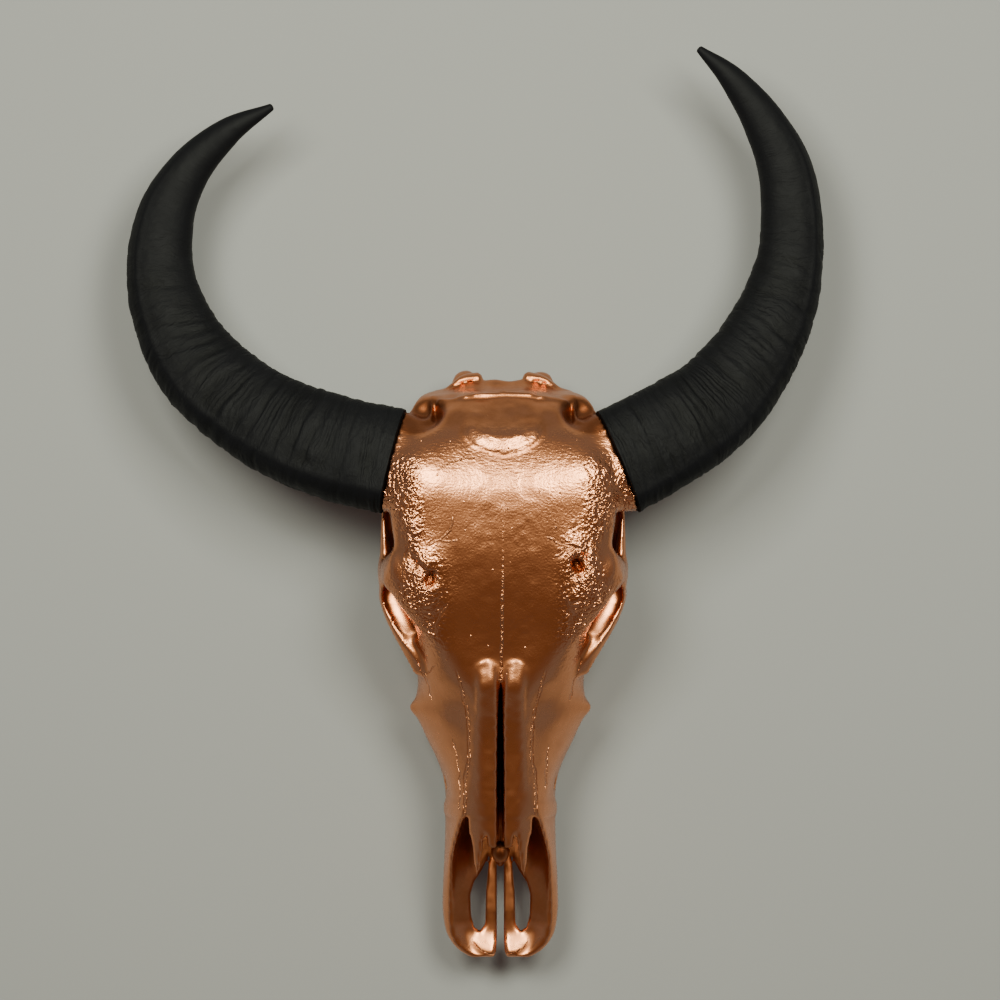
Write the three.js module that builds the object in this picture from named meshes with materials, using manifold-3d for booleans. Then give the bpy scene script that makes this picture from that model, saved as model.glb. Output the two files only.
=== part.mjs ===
// The skull of a water buffalo without its lower jaw, lying forehead up on its cheek teeth and on
// the two bony spurs beside the neck joint. The bone is one piece, and the horn sheaths and the
// twelve cheek teeth are pieces of their own.
//
// Millimetres. X runs across the skull, Y from the snout to the neck, Z up. Everything is first laid
// out from the skull's own midline and snout, and the finished group is then moved so that its
// origin is the middle of the floor area that it covers.
import * as THREE from "three";
import { mergeVertices } from "three/addons/utils/BufferGeometryUtils.js";
import Module from "manifold-3d";

const wasm = await Module();
wasm.setup();

// Driving dimensions
const GAP = 0.3; // clearance between pieces that touch
const ZYGOMA_X = 97.5; // middle of the cheek arch from the midline
const HORN_BASE_Z = 118; // middle of the horn's root above the floor
const NASAL_SLIT = 2.7; // half of the gap between the two nasal bones
const INCISIVE_GAP = 2.9; // half of the gap between the two incisive bones
const CROWN_HEIGHT = 22; // of a cheek tooth below the palate's edge
const ROOT_DEPTH = 7; // of a cheek tooth inside its socket
const RIDGES = 20; // growth rings on each horn
const RIDGE_HEIGHT = 0.036; // of a growth ring, as a share of the horn's radius
const RIDGED_FROM = 0.01;
const RIDGED_TO = 0.66; // share of the horn's length that is ringed

const COPPER = { color: 0xb06a45, roughness: 0.3, metalness: 1 };
const BLACK = { color: 0x17171a, roughness: 0.6, metalness: 0 };

// The skull's body as cross-sections along Y. Each holds one side's outline as [x, z], from the
// middle of the forehead round the flank to the middle of the palate or skull base.
const BODY = [
  [116, [[0, 113], [14, 112], [26, 105], [37, 88], [44, 68], [46, 52], [41, 38], [26, 38], [0, 41]]],
  [132, [[0, 116], [14, 115.5], [27, 108], [38, 91], [44.5, 68], [46, 50], [42, 35], [28, 36], [0, 41]]],
  [146, [[0, 118.5], [14, 118], [27, 110.5], [39, 92], [46.5, 68], [48, 48], [43, 29], [30, 33], [0, 40]]],
  [160, [[0, 121], [15, 120.5], [27, 113], [41, 94], [51, 70], [53, 50], [47, 26], [33, 31], [0, 40]]],
  [176, [[0, 124], [15, 123.5], [26, 116], [43, 96], [56, 75], [61, 54], [52, 25], [35, 30], [0, 39]]],
  [194, [[0, 128], [16, 128], [30, 121], [49, 101], [65, 78], [68.5, 62], [55, 24], [38, 29], [0, 38]]],
  [204, [[0, 130], [16, 130], [31, 123], [52, 102], [69, 79], [75, 64], [56, 24], [38, 29], [0, 38]]],
  [213, [[0, 132], [17, 132.5], [33, 126], [54, 105], [68, 81], [70, 62], [58, 24], [39, 29], [0, 38]]],
  [230, [[0, 136.5], [20, 137.5], [40, 131.5], [59, 112], [68.5, 84], [68, 62], [60, 24], [40, 29], [0, 38]]],
  [248, [[0, 141], [24, 142.5], [46, 138], [61, 122], [74, 88], [72, 64], [60, 26], [41, 31], [0, 38]]],
  [266, [[0, 146], [30, 147.5], [55, 143], [67, 131], [83, 86], [78, 64], [56, 30], [38, 36], [0, 42]]],
  [282, [[0, 151], [35, 152], [64, 147], [78.5, 136], [90, 86], [82, 68], [50, 42], [32, 43], [0, 47]]],
  [296, [[0, 155], [38, 156], [71, 150], [88, 138], [92, 90], [76, 71], [44, 48], [26, 45], [0, 49]]],
  [310, [[0, 158.5], [41, 158.5], [76, 152], [97, 136], [86, 98], [62, 73], [38, 52], [24, 46], [0, 50]]],
  [335, [[0, 163], [44, 162.5], [77, 154], [96, 137], [72, 106], [52, 76], [40, 56], [24, 50], [0, 50]]],
  [362, [[0, 166], [44, 165.5], [77, 158], [95, 141], [80, 112], [56, 82], [44, 60], [24, 52], [0, 50]]],
  [385, [[0, 166.5], [44, 166], [77, 158.5], [94, 143], [80, 112], [56, 82], [46, 60], [23, 50], [0, 48]]],
  [405, [[0, 164], [44, 163.5], [76, 157], [92, 142], [78, 112], [58, 82], [46, 60], [22, 47], [0, 45]]],
  [425, [[0, 156], [42, 155], [70, 148.5], [84, 134], [76, 106], [62, 84], [46, 60], [20, 46], [0, 44]]],
  [440, [[0, 145], [38, 143.5], [63, 136], [79, 121], [77, 101], [67, 83], [46, 60], [18, 44], [0, 42]]],
  [452, [[0, 134], [34, 132], [56, 125], [73, 111], [75, 95], [66, 80], [44, 57], [17, 44], [0, 42]]],
  [461, [[0, 122], [28, 120], [50, 113], [65, 102], [69, 88], [61, 72], [42, 52], [17, 44], [0, 43]]],
  [469, [[0, 106], [24, 104], [42, 97], [54, 88], [57, 80], [50, 66], [36, 54], [16, 48], [0, 47]]],
  [477, [[0, 86], [12, 85], [19, 82], [24, 76], [25, 71], [22, 66], [17, 61], [9, 57], [0, 56]]],
];

// The open trough of the two incisive bones, by the same rule, from the middle of its floor over
// the rim to the middle of its underside.
const TROUGH = [
  [-8, [[0, 45], [9, 45], [15, 45.5], [20, 46.5], [24, 45], [25, 43], [22, 40], [12, 39], [0, 39]]],
  [-2, [[0, 44], [12, 44], [22, 45], [29, 49], [33, 47], [34.5, 43], [31, 38], [16, 37], [0, 37]]],
  [5, [[0, 43.5], [13, 43.5], [25, 45], [35, 51], [39, 50], [41, 44], [37, 37], [18, 36], [0, 36]]],
  [15, [[0, 43.5], [14, 43.5], [27, 45.5], [39, 54], [42.5, 53], [46, 45], [42, 37], [20, 36], [0, 36]]],
  [34, [[0, 44], [14, 44], [27, 47], [39, 57], [42.5, 58.5], [48.5, 47], [44, 37], [22, 36.5], [0, 37]]],
  [58, [[0, 45], [14, 45], [26, 48], [38, 61], [42, 66], [48, 50], [44, 37], [24, 37], [0, 38]]],
  [82, [[0, 46], [14, 46], [25, 49], [36, 66], [40.5, 78], [46.8, 54], [43, 37], [26, 37.5], [0, 39]]],
  [104, [[0, 47], [14, 47], [24, 50], [31, 72], [35.5, 93], [46, 56], [42, 37], [27, 38], [0, 40]]],
  [122, [[0, 48], [14, 48], [22, 51], [26, 76], [29.5, 104], [45.5, 60], [41, 36], [27, 37], [0, 41]]],
];

// The free front end of the nasal bones: a thin roof, from its middle over its side edge and back
// along its underside.
const ROOF = [
  [60, [[0, 101.5], [10, 101.3], [18, 98], [24, 92], [22, 89.5], [17, 93], [10, 96], [0, 96.5]]],
  [90, [[0, 107.5], [11, 107.2], [20, 102.5], [27, 95], [25, 92.5], [19, 97], [11, 101], [0, 101.5]]],
  [118, [[0, 113.3], [13, 112.6], [23, 107], [31, 99], [28, 96], [22, 101], [13, 106], [0, 106.5]]],
  [136, [[0, 116.3], [14, 115.8], [24, 110], [31, 101], [28, 98], [23, 103], [13, 108], [0, 109]]],
];

// The airway through the muzzle, which opens at the front, below the nasal bones.
const AIRWAY = [
  [90, [[0, 104], [14, 103], [24, 97], [30, 84], [31, 68], [27, 56], [20, 51], [10, 49], [0, 48.5]]],
  [116, [[0, 107], [13, 106], [24, 99], [31, 86], [36, 70], [35, 58], [27, 52], [12, 50], [0, 49.5]]],
  [150, [[0, 112], [13, 111], [23, 104], [32, 89], [38, 72], [36, 58], [28, 52], [12, 50], [0, 49]]],
  [200, [[0, 121], [13, 120], [24, 113], [36, 97], [42, 80], [40, 62], [30, 53], [13, 50], [0, 49]]],
  [236, [[0, 127], [12, 126], [24, 119], [34, 103], [38, 86], [34, 68], [26, 58], [12, 54], [0, 53]]],
  [252, [[0, 112], [6, 111], [12, 107], [17, 97], [19, 86], [17, 76], [12, 68], [6, 66], [0, 65]]],
];

// Outlines seen from above, as [x, y] on one side of the midline.
const NASAL_OUTLINE = [[0, 150], [32, 150], [32, 126], [27, 119], [26.2, 103], [23.6, 94.6],
  [21.9, 77.3], [19.4, 64.9], [17.6, 70], [12.7, 105.3], [9.5, 91], [0, 88]];
const FISSURE = [[9.1, 78], [16.2, 64.3], [22.1, 55.6], [25.2, 44.9], [24.6, 27.2], [21.9, 17.4],
  [17.3, 13.9], [12.8, 20.2], [12.2, 44.9], [10.6, 67]];
const NASAL_GAP = [[0, 238], [1.2, 222], [2.2, 200], [NASAL_SLIT, 170], [NASAL_SLIT, 100], [4, 88], [0, 60]];
const SNOUT_GAP = [[0, 74], [INCISIVE_GAP, 70], [INCISIVE_GAP, 8], [5.5, -2], [9, -14], [0, -14]];

// Cheek teeth, front to back: name, middle as [x, y], length along the jaw, width across it, how
// far its row turns outwards at the back, in degrees, how many lobes it has along the jaw, and how
// far its crown stops short of the floor.
const TEETH = [
  ["premolar_2", [39.5, 151], 15.5, 13, 16, 1, 4.5],
  ["premolar_3", [43.8, 167.5], 16.5, 16.5, 13, 1, 2.5],
  ["premolar_4", [47.2, 184.5], 16.5, 19, 9, 1, 1],
  ["molar_1", [49.6, 205.5], 24.5, 21.5, 4, 2, 0],
  ["molar_2", [50.4, 231.5], 26.5, 22.5, 0, 2, 0],
  ["molar_3", [49.2, 260], 29, 21, -5, 3, 1.5],
];

// Each horn: points on its middle line from inside the skull to the tip, then at each point from
// the root on, half its width across the curve and half its thickness.
const HORNS = [
  {
    name: "horn_left", // on the animal's own left
    line: [[52, 396, 122], [93.3, 408, HORN_BASE_Z], [145.3, 435.7, 112], [184.5, 466, 98], [220, 518, 84],
      [239.6, 580.2, 76], [237, 645.3, 74], [218, 689.8, 78], [190.4, 726.7, 84], [163.2, 750.3, 90]],
    width: [45.5, 43.2, 40.2, 34.7, 28.1, 23.7, 17.9, 10.8, 3.2],
    thickness: [33, 33, 31, 28, 24, 20.5, 16, 10, 3.2],
    twist: 2,
  },
  {
    name: "horn_right",
    line: [[-48, 399, 122], [-89.3, 408, HORN_BASE_Z], [-148.5, 422.6, 112], [-204.9, 448.4, 98],
      [-254.1, 490.1, 84], [-283.4, 551.5, 74], [-282.9, 608.1, 70], [-263.4, 650, 72], [-230.1, 682.6, 78],
      [-192.8, 703.1, 84]],
    width: [44.6, 43.8, 40.3, 37.4, 30, 24.9, 18.6, 11.9, 3.2],
    thickness: [33, 33, 31, 28.5, 24, 20.5, 16, 10.5, 3.2],
    twist: 12,
  },
];

const vec = (p) => new THREE.Vector3(...p);
const sweep = (points) => new THREE.CatmullRomCurve3(points.map(vec), false, "catmullrom", 0.5);

// Turns a closed geometry into a solid that can be cut and joined.
function solidOf(geometry) {
  const bare = new THREE.BufferGeometry().setAttribute("position", geometry.getAttribute("position"));
  if (geometry.index) bare.setIndex(geometry.index);
  const merged = mergeVertices(bare, 1e-4);
  return new wasm.Manifold(
    new wasm.Mesh({
      numProp: 3,
      vertProperties: new Float32Array(merged.attributes.position.array),
      triVerts: new Uint32Array(merged.index.array),
    }),
  );
}

// The geometry of a solid.
function geometryOf(solid) {
  const { vertProperties, triVerts } = solid.getMesh();
  return new THREE.BufferGeometry()
    .setAttribute("position", new THREE.BufferAttribute(vertProperties, 3))
    .setIndex(new THREE.BufferAttribute(triVerts, 1));
}

// A closed skin over a row of rings, each a loop of points, with flat ends. The rings run along Y
// as seen here, and flip says that they turn the other way.
function skin(rings, flip = false) {
  const count = rings[0].length;
  const position = rings.flat().flatMap((p) => p.toArray());
  const index = [];
  const face = (a, b, c) => index.push(...(flip ? [a, c, b] : [a, b, c]));
  for (let r = 0; r + 1 < rings.length; r++) {
    for (let i = 0; i < count; i++) {
      const j = (i + 1) % count;
      const [low, high] = [r * count, (r + 1) * count];
      face(low + i, low + j, high + i);
      face(low + j, high + j, high + i);
    }
  }
  for (const [ring, start, front] of [[rings[0], 0, true], [rings.at(-1), (rings.length - 1) * count, false]]) {
    for (const [a, b, c] of THREE.ShapeUtils.triangulateShape(flatten(ring), [])) {
      const turned = front ? [a, b, c] : [a, c, b];
      face(...turned.map((k) => start + k));
    }
  }
  return new THREE.BufferGeometry()
    .setAttribute("position", new THREE.Float32BufferAttribute(position, 3))
    .setIndex(index);
}

// A flat ring's points in its own plane, wound so that its end cap faces backwards along the row.
function flatten(ring) {
  const middle = ring.reduce((sum, p) => sum.add(p), new THREE.Vector3()).divideScalar(ring.length);
  const normal = new THREE.Vector3();
  ring.forEach((p, i) => {
    const q = ring[(i + 1) % ring.length];
    normal.add(p.clone().sub(middle).cross(q.clone().sub(middle)));
  });
  normal.normalize();
  const across = ring[0].clone().sub(middle).normalize();
  const up = normal.clone().cross(across);
  return ring.map((p) => {
    const d = p.clone().sub(middle);
    return new THREE.Vector2(-d.dot(across), d.dot(up));
  });
}

// A skin through cross-sections given for one side of the midline, each rounded off by that many
// points for each one given.
function loft(sections, round = 1) {
  const rings = sections.map(([y, outline]) => {
    const side = outline.map(([x, z]) => new THREE.Vector3(x, y, z));
    const other = side.slice(1, -1).reverse().map((p) => new THREE.Vector3(-p.x, p.y, p.z));
    const loop = new THREE.CatmullRomCurve3([...side, ...other], true, "catmullrom", 0.5);
    return loop.getPoints(round * (side.length + other.length)).slice(0, -1);
  });
  return skin(rings);
}

// A prism standing between two heights on an outline seen from above.
function prism(outline, low, high) {
  const shape = new THREE.Shape(outline.map(([x, y]) => new THREE.Vector2(x, y)));
  return new THREE.ExtrudeGeometry(shape, { depth: high - low, bevelEnabled: false }).translate(0, 0, low);
}

// An ellipsoid, turned by angles in degrees about its middle.
function ellipsoid(middle, radii, turn = [0, 0, 0], sides = 10) {
  const [x, y, z] = turn.map(THREE.MathUtils.degToRad);
  return new THREE.SphereGeometry(1, sides, Math.round(sides * 0.7))
    .scale(...radii)
    .applyMatrix4(new THREE.Matrix4().makeRotationFromEuler(new THREE.Euler(x, y, z)))
    .translate(...middle);
}

// A bar along a smooth line, with an oval section whose half-width across and half-height change
// from point to point.
function bar(points, halves, steps = 2, sides = 8) {
  const line = sweep(points);
  const size = sweep(halves.map(([across, high]) => [across, high, 0]));
  const count = (points.length - 1) * steps;
  const rings = Array.from({ length: count + 1 }, (_, r) => {
    const t = r / count;
    const ahead = line.getTangent(t);
    const reference = Math.abs(ahead.z) > 0.8 ? new THREE.Vector3(0, -1, 0) : new THREE.Vector3(0, 0, 1);
    const across = ahead.clone().cross(reference).normalize();
    const up = across.clone().cross(ahead);
    const { x: half, y: high } = size.getPoint(t);
    return Array.from({ length: sides }, (_, i) => {
      const angle = (-2 * Math.PI * i) / sides;
      return line.getPoint(t)
        .addScaledVector(across, half * Math.cos(angle))
        .addScaledVector(up, high * Math.sin(angle));
    });
  });
  return skin(rings);
}

const mirror = (geometry) => {
  const turned = geometry.clone().scale(-1, 1, 1);
  const flat = turned.index ? turned.toNonIndexed() : turned;
  const p = flat.attributes.position;
  for (let i = 0; i < p.count; i += 3) {
    const [a, b] = [new THREE.Vector3().fromBufferAttribute(p, i + 1), new THREE.Vector3().fromBufferAttribute(p, i + 2)];
    p.setXYZ(i + 1, ...b.toArray());
    p.setXYZ(i + 2, ...a.toArray());
  }
  return flat;
};
const bothSides = (geometry) => [geometry, mirror(geometry)].map(solidOf);
const join = (solids) => solids.reduce((a, b) => a.add(b));
const cut = (from, solids) => solids.reduce((a, b) => a.subtract(b), from);

// The curve of a horn's middle line, and its half-width and half-thickness along it, at a share t of
// the way from its root to its tip.
function hornShape({ line, width, thickness }) {
  const path = sweep(line);
  const sizes = sweep(width.map((w, i) => [w, thickness[i], 0]));
  const start = 1 / (line.length - 1);
  return (t) => {
    const at = start + (1 - start) * t;
    const ahead = path.getTangent(at);
    const outward = ahead.clone().cross(new THREE.Vector3(0, 0, 1)).normalize();
    const up = outward.clone().cross(ahead);
    const size = sizes.getPoint(t);
    return { middle: path.getPoint(at), ahead, outward, up, width: size.x, thickness: size.y };
  };
}

// A ring round a horn at share t, swollen by a factor. The forehead side is flattened, and both of
// its edges are tighter than the back's.
function hornRing(horn, shape, t, swell, sides) {
  const { middle, outward, up, width, thickness } = shape(t);
  const twist = THREE.MathUtils.degToRad(horn.twist) * (1 - t) * Math.sign(horn.line[0][0]);
  const flat = 0.34 * (1 - t);
  return Array.from({ length: sides }, (_, i) => {
    const angle = (-2 * Math.PI * i) / sides;
    const [c, s] = [Math.cos(angle), Math.sin(angle)];
    const across = swell * width * Math.sign(c) * Math.abs(c) ** (1 - 0.3 * flat);
    const high = swell * thickness * (s > 0 ? (1 - 0.2 * flat) * s ** (1 - flat) : s);
    const turned = [across * Math.cos(twist) - high * Math.sin(twist), across * Math.sin(twist) + high * Math.cos(twist)];
    return middle.clone().addScaledVector(outward, turned[0]).addScaledVector(up, turned[1]);
  });
}

// A horn sheath: its growth rings stand out as a crest and a valley each, weaker towards the
// smooth tip.
function hornSheath(horn) {
  const shape = hornShape(horn);
  const stations = [];
  for (let k = 0; k <= 2 * RIDGES; k++) {
    const share = k / (2 * RIDGES);
    const fade = (1 - share) ** 0.5;
    const swell = 1 + (k % 2 ? 0.5 : -0.5) * RIDGE_HEIGHT * fade;
    stations.push([RIDGED_FROM + (RIDGED_TO - RIDGED_FROM) * share ** 1.1, swell]);
  }
  for (const t of [0.72, 0.78, 0.84, 0.89, 0.94, 0.975, 1]) stations.push([t, 1]);
  const rings = [[0, 0.985], ...stations].map(([t, swell]) => hornRing(horn, shape, t, swell, 12));
  const end = shape(1);
  rings.push(rings.at(-1).map((p) => p.clone().lerp(end.middle, 0.5).addScaledVector(end.ahead, 2.4)));
  return skin(rings);
}

// The bony stump that a horn grows on: it widens out of the forehead along the horn's line and
// stops just short of the sheath.
function hornStump(horn) {
  const root = hornShape(horn)(0);
  const back = vec(horn.line[0]).sub(root.middle);
  const ring = hornRing(horn, hornShape(horn), 0, 1, 12);
  return skin([[1, 0.62], [0.5, 0.84], [0, 0.955]].map(([share, size]) => ring.map((p) =>
    p.clone().sub(root.middle).multiplyScalar(size).add(root.middle)
      .addScaledVector(back, share)
      .addScaledVector(root.ahead, -GAP),
  )));
}

// The room that a horn's root takes up beside the bone, a little more than the sheath itself.
function hornClearance(horn) {
  const shape = hornShape(horn);
  return skin([0, 0.04, 0.09].map((t) => {
    const ring = hornRing(horn, shape, t, 1.035, 12);
    return t ? ring : ring.map((p) => p.clone().addScaledVector(shape(0).ahead, -GAP));
  }));
}

// A tooth's outline: a rounded block with a groove between its lobes on both long sides.
function toothOutline(length, width, lobes, grow) {
  const steps = 6 + 4 * lobes;
  return Array.from({ length: steps }, (_, i) => {
    const angle = (2 * Math.PI * i) / steps;
    const [c, s] = [Math.cos(angle), Math.sin(angle)];
    const along = Math.sign(s) * Math.abs(s) ** 0.6;
    const pinch = lobes > 1 ? 1 - 0.06 * (1 + Math.cos(Math.PI * lobes * (along + 1))) : 1;
    const across = Math.sign(c) * Math.abs(c) ** 0.6 * pinch;
    return [(width / 2 + grow) * across, (length / 2 + grow) * along];
  });
}

// A cheek tooth, or with grow the socket that takes it.
function tooth([, [x, y], length, width, turn, lobes, short], side, grow = 0) {
  const top = CROWN_HEIGHT + ROOT_DEPTH + grow;
  return prism(toothOutline(length, width, lobes, grow), grow ? CROWN_HEIGHT - 14 : short, top)
    .rotateZ(THREE.MathUtils.degToRad(-turn * side))
    .translate(x * side, y, 0);
}

// The bone, as one solid
function makeCranium() {
  const roof = solidOf(loft(ROOF)).intersect(join(bothSides(prism(NASAL_OUTLINE, 60, 160))));
  const shell = cut(solidOf(loft(BODY, 2)), [
    solidOf(loft(AIRWAY)),
    ...bothSides(ellipsoid([92, 285, 112], [36, 30, 29], [0, 0, -20], 12)), // eye sockets
    ...bothSides(ellipsoid([95, 378, 94], [39, 60, 28], [0, 0, 0], 12)), // temples, under the horns
    ...bothSides(ellipsoid([82, 449, 124], [18, 13, 24])), // hollows behind the horns
    ...bothSides(ellipsoid([84, 340, 56], [34, 62, 25], [0, 0, 0], 12)), // below the cheek arch
    ...bothSides(ellipsoid([33, 480, 90], [17, 12, 14], [0, 0, 0], 8)), // hollows of the neck face
    solidOf(ellipsoid([0, 306, 44], [17, 46, 26])), // rear opening of the airway
    solidOf(ellipsoid([0, 415, 92], [34, 50, 34])), // brain case
    solidOf(bar([[0, 496, 58], [0, 470, 61], [0, 425, 74]], [[17, 15], [17, 15], [15, 15]], 1, 12)), // to the spine
  ]);
  const snout = cut(solidOf(loft(TROUGH)), [
    ...bothSides(prism(FISSURE, 30, 60)),
    ...bothSides(prism(SNOUT_GAP, 30, 60)),
  ]);
  const added = [
    bar([[62, 243, 68], [85, 272, 76], [ZYGOMA_X - 3, 294, 82], [ZYGOMA_X, 316, 86], [ZYGOMA_X, 342, 86],
      [ZYGOMA_X - 2, 368, 83], [88, 394, 77], [66, 414, 74]],
      [[4, 7], [5, 9.5], [4.5, 10], [4.5, 10], [4.5, 10], [5, 9], [6, 9], [8, 12]]), // cheek arch
    bar([[86, 320, 143], [93, 318, 128], [ZYGOMA_X - 1, 317, 108], [ZYGOMA_X, 318, 88]],
      [[7, 10], [5.5, 10], [4.5, 8.5], [4.5, 10]], 2, 6), // bar behind the eye
    bar([[28, 444, 62], [30, 462, 58], [31, 477, 57], [30, 482, 58]],
      [[11, 15], [14, 20], [11, 16], [5, 9]], 1, 9), // neck joint
    bar([[52, 450, 78], [53, 454, 50], [50, 455, 24], [46, 453, 5], [45.5, 452, 0.8]],
      [[8, 11], [6.5, 9], [5, 6.5], [3.6, 4.2], [2.4, 2.6]], 1, 7), // spur beside it
    ellipsoid([34, 410, 47], [10, 15, 13], [0, 0, 0], 8), // ear bone
    bar([[19, 262, 40], [20, 290, 38], [18, 318, 40], [14, 346, 52]],
      [[3, 8], [2.6, 9], [2.6, 9], [3, 8]], 1, 6), // wing beside the airway's rear opening
    ellipsoid([11.5, 240, 134], [10.5, 21, 8], [14, 0, -6], 8), // upper end of a nasal bone
    ellipsoid([65, 318, 148], [18, 31, 9], [4, 15, 12], 8), // swelling round the vessel opening
  ].flatMap(bothSides);
  const ledge = solidOf(bar([[-28, 424.5, 155.5], [-14, 417, 159], [0, 414.5, 160], [14, 417, 159],
    [28, 424.5, 155.5]], [[2, 2], [4, 3], [4.5, 3], [4, 3], [2, 2]], 1, 6));
  const vomer = solidOf(bar([[0, 72, 50], [0, 96, 56], [0, 150, 58], [0, 246, 62]],
    [[3, 4], [3, 9], [2.5, 12], [3, 14]], 1, 6));
  const stumps = HORNS.map((horn) => solidOf(hornStump(horn)));
  const sockets = TEETH.flatMap((t) => [1, -1].map((side) => solidOf(tooth(t, side, GAP))));
  return cut(join([shell, snout, roof, ledge, vomer, ...added, ...stumps]), [
    ...bothSides(prism(NASAL_GAP, 92, 170)),
    solidOf(ellipsoid([-58.4, 312, 158], [5, 7, 12], [0, 0, 0], 7)), // blood vessel openings above the eyes
    solidOf(ellipsoid([60.8, 323.5, 158], [5, 8, 12], [0, 0, 0], 7)),
    ...HORNS.map((horn) => solidOf(hornClearance(horn))),
    ...sockets,
  ]);
}

function piece(name, geometry, finish) {
  const mesh = new THREE.Mesh(geometry, new THREE.MeshStandardMaterial(finish));
  mesh.name = name;
  return mesh;
}

const skull = new THREE.Group();
skull.add(piece("cranium", geometryOf(makeCranium()), COPPER));
for (const horn of HORNS) skull.add(piece(horn.name, hornSheath(horn), BLACK));
for (const entry of TEETH) {
  for (const [side, word] of [[1, "left"], [-1, "right"]]) {
    skull.add(piece(`${entry[0]}_${word}`, tooth(entry, side), COPPER));
  }
}

const covered = new THREE.Box3().setFromObject(skull);
const middle = covered.getCenter(new THREE.Vector3());
skull.position.set(-middle.x, -middle.y, -covered.min.z);

const part = new THREE.Group();
part.add(skull);
export default part;
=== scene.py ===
"""A water buffalo skull with a copper coat on the bone and black horns, dressed over its CAD frame.

The bone is one surface, taken from a distance field that is filled with the same cross-sections,
bars and hollows as the solid. The horns and the teeth are surfaces over two parameters. Sizes are
millimetres from the skull's own midline and snout until a mesh is made: x to the animal's left, y
from the snout to the neck, z up.
"""

from __future__ import annotations

import logging
import math
from dataclasses import dataclass, field
from enum import Enum
from typing import Protocol, Sequence

import bpy
import numpy as np
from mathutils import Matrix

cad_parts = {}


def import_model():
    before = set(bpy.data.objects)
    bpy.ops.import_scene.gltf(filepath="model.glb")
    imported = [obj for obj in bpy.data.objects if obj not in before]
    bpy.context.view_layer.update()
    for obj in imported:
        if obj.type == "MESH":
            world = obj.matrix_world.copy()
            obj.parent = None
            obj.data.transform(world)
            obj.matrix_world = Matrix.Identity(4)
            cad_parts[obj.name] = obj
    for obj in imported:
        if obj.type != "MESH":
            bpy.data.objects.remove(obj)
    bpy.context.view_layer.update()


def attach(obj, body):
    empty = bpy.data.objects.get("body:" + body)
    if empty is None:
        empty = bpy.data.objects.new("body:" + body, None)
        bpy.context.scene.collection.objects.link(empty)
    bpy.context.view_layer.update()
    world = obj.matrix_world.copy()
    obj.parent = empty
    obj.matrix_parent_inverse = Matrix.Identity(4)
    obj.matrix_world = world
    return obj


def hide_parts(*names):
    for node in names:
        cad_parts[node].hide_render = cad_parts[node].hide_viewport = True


LOG = logging.getLogger("buffalo_skull")
Point = tuple[float, ...]
Section = tuple[float, Sequence[Point]]
Tree = bpy.types.NodeTree

# From the skull's own millimetres, counted from its midline and snout, to the frame's metres.
SHIFT = np.array([23.28, -372.53, 0.0])
METRE = 0.001

# A distance that counts as far from every solid, in mm.
FAR = 40.0

# Large whole numbers that turn a lattice corner's place into a hash, one per axis and one to mix.
HASH_STEPS = (374761393, 668265263, 2147483647)
HASH_MIX = 1274126177

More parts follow.
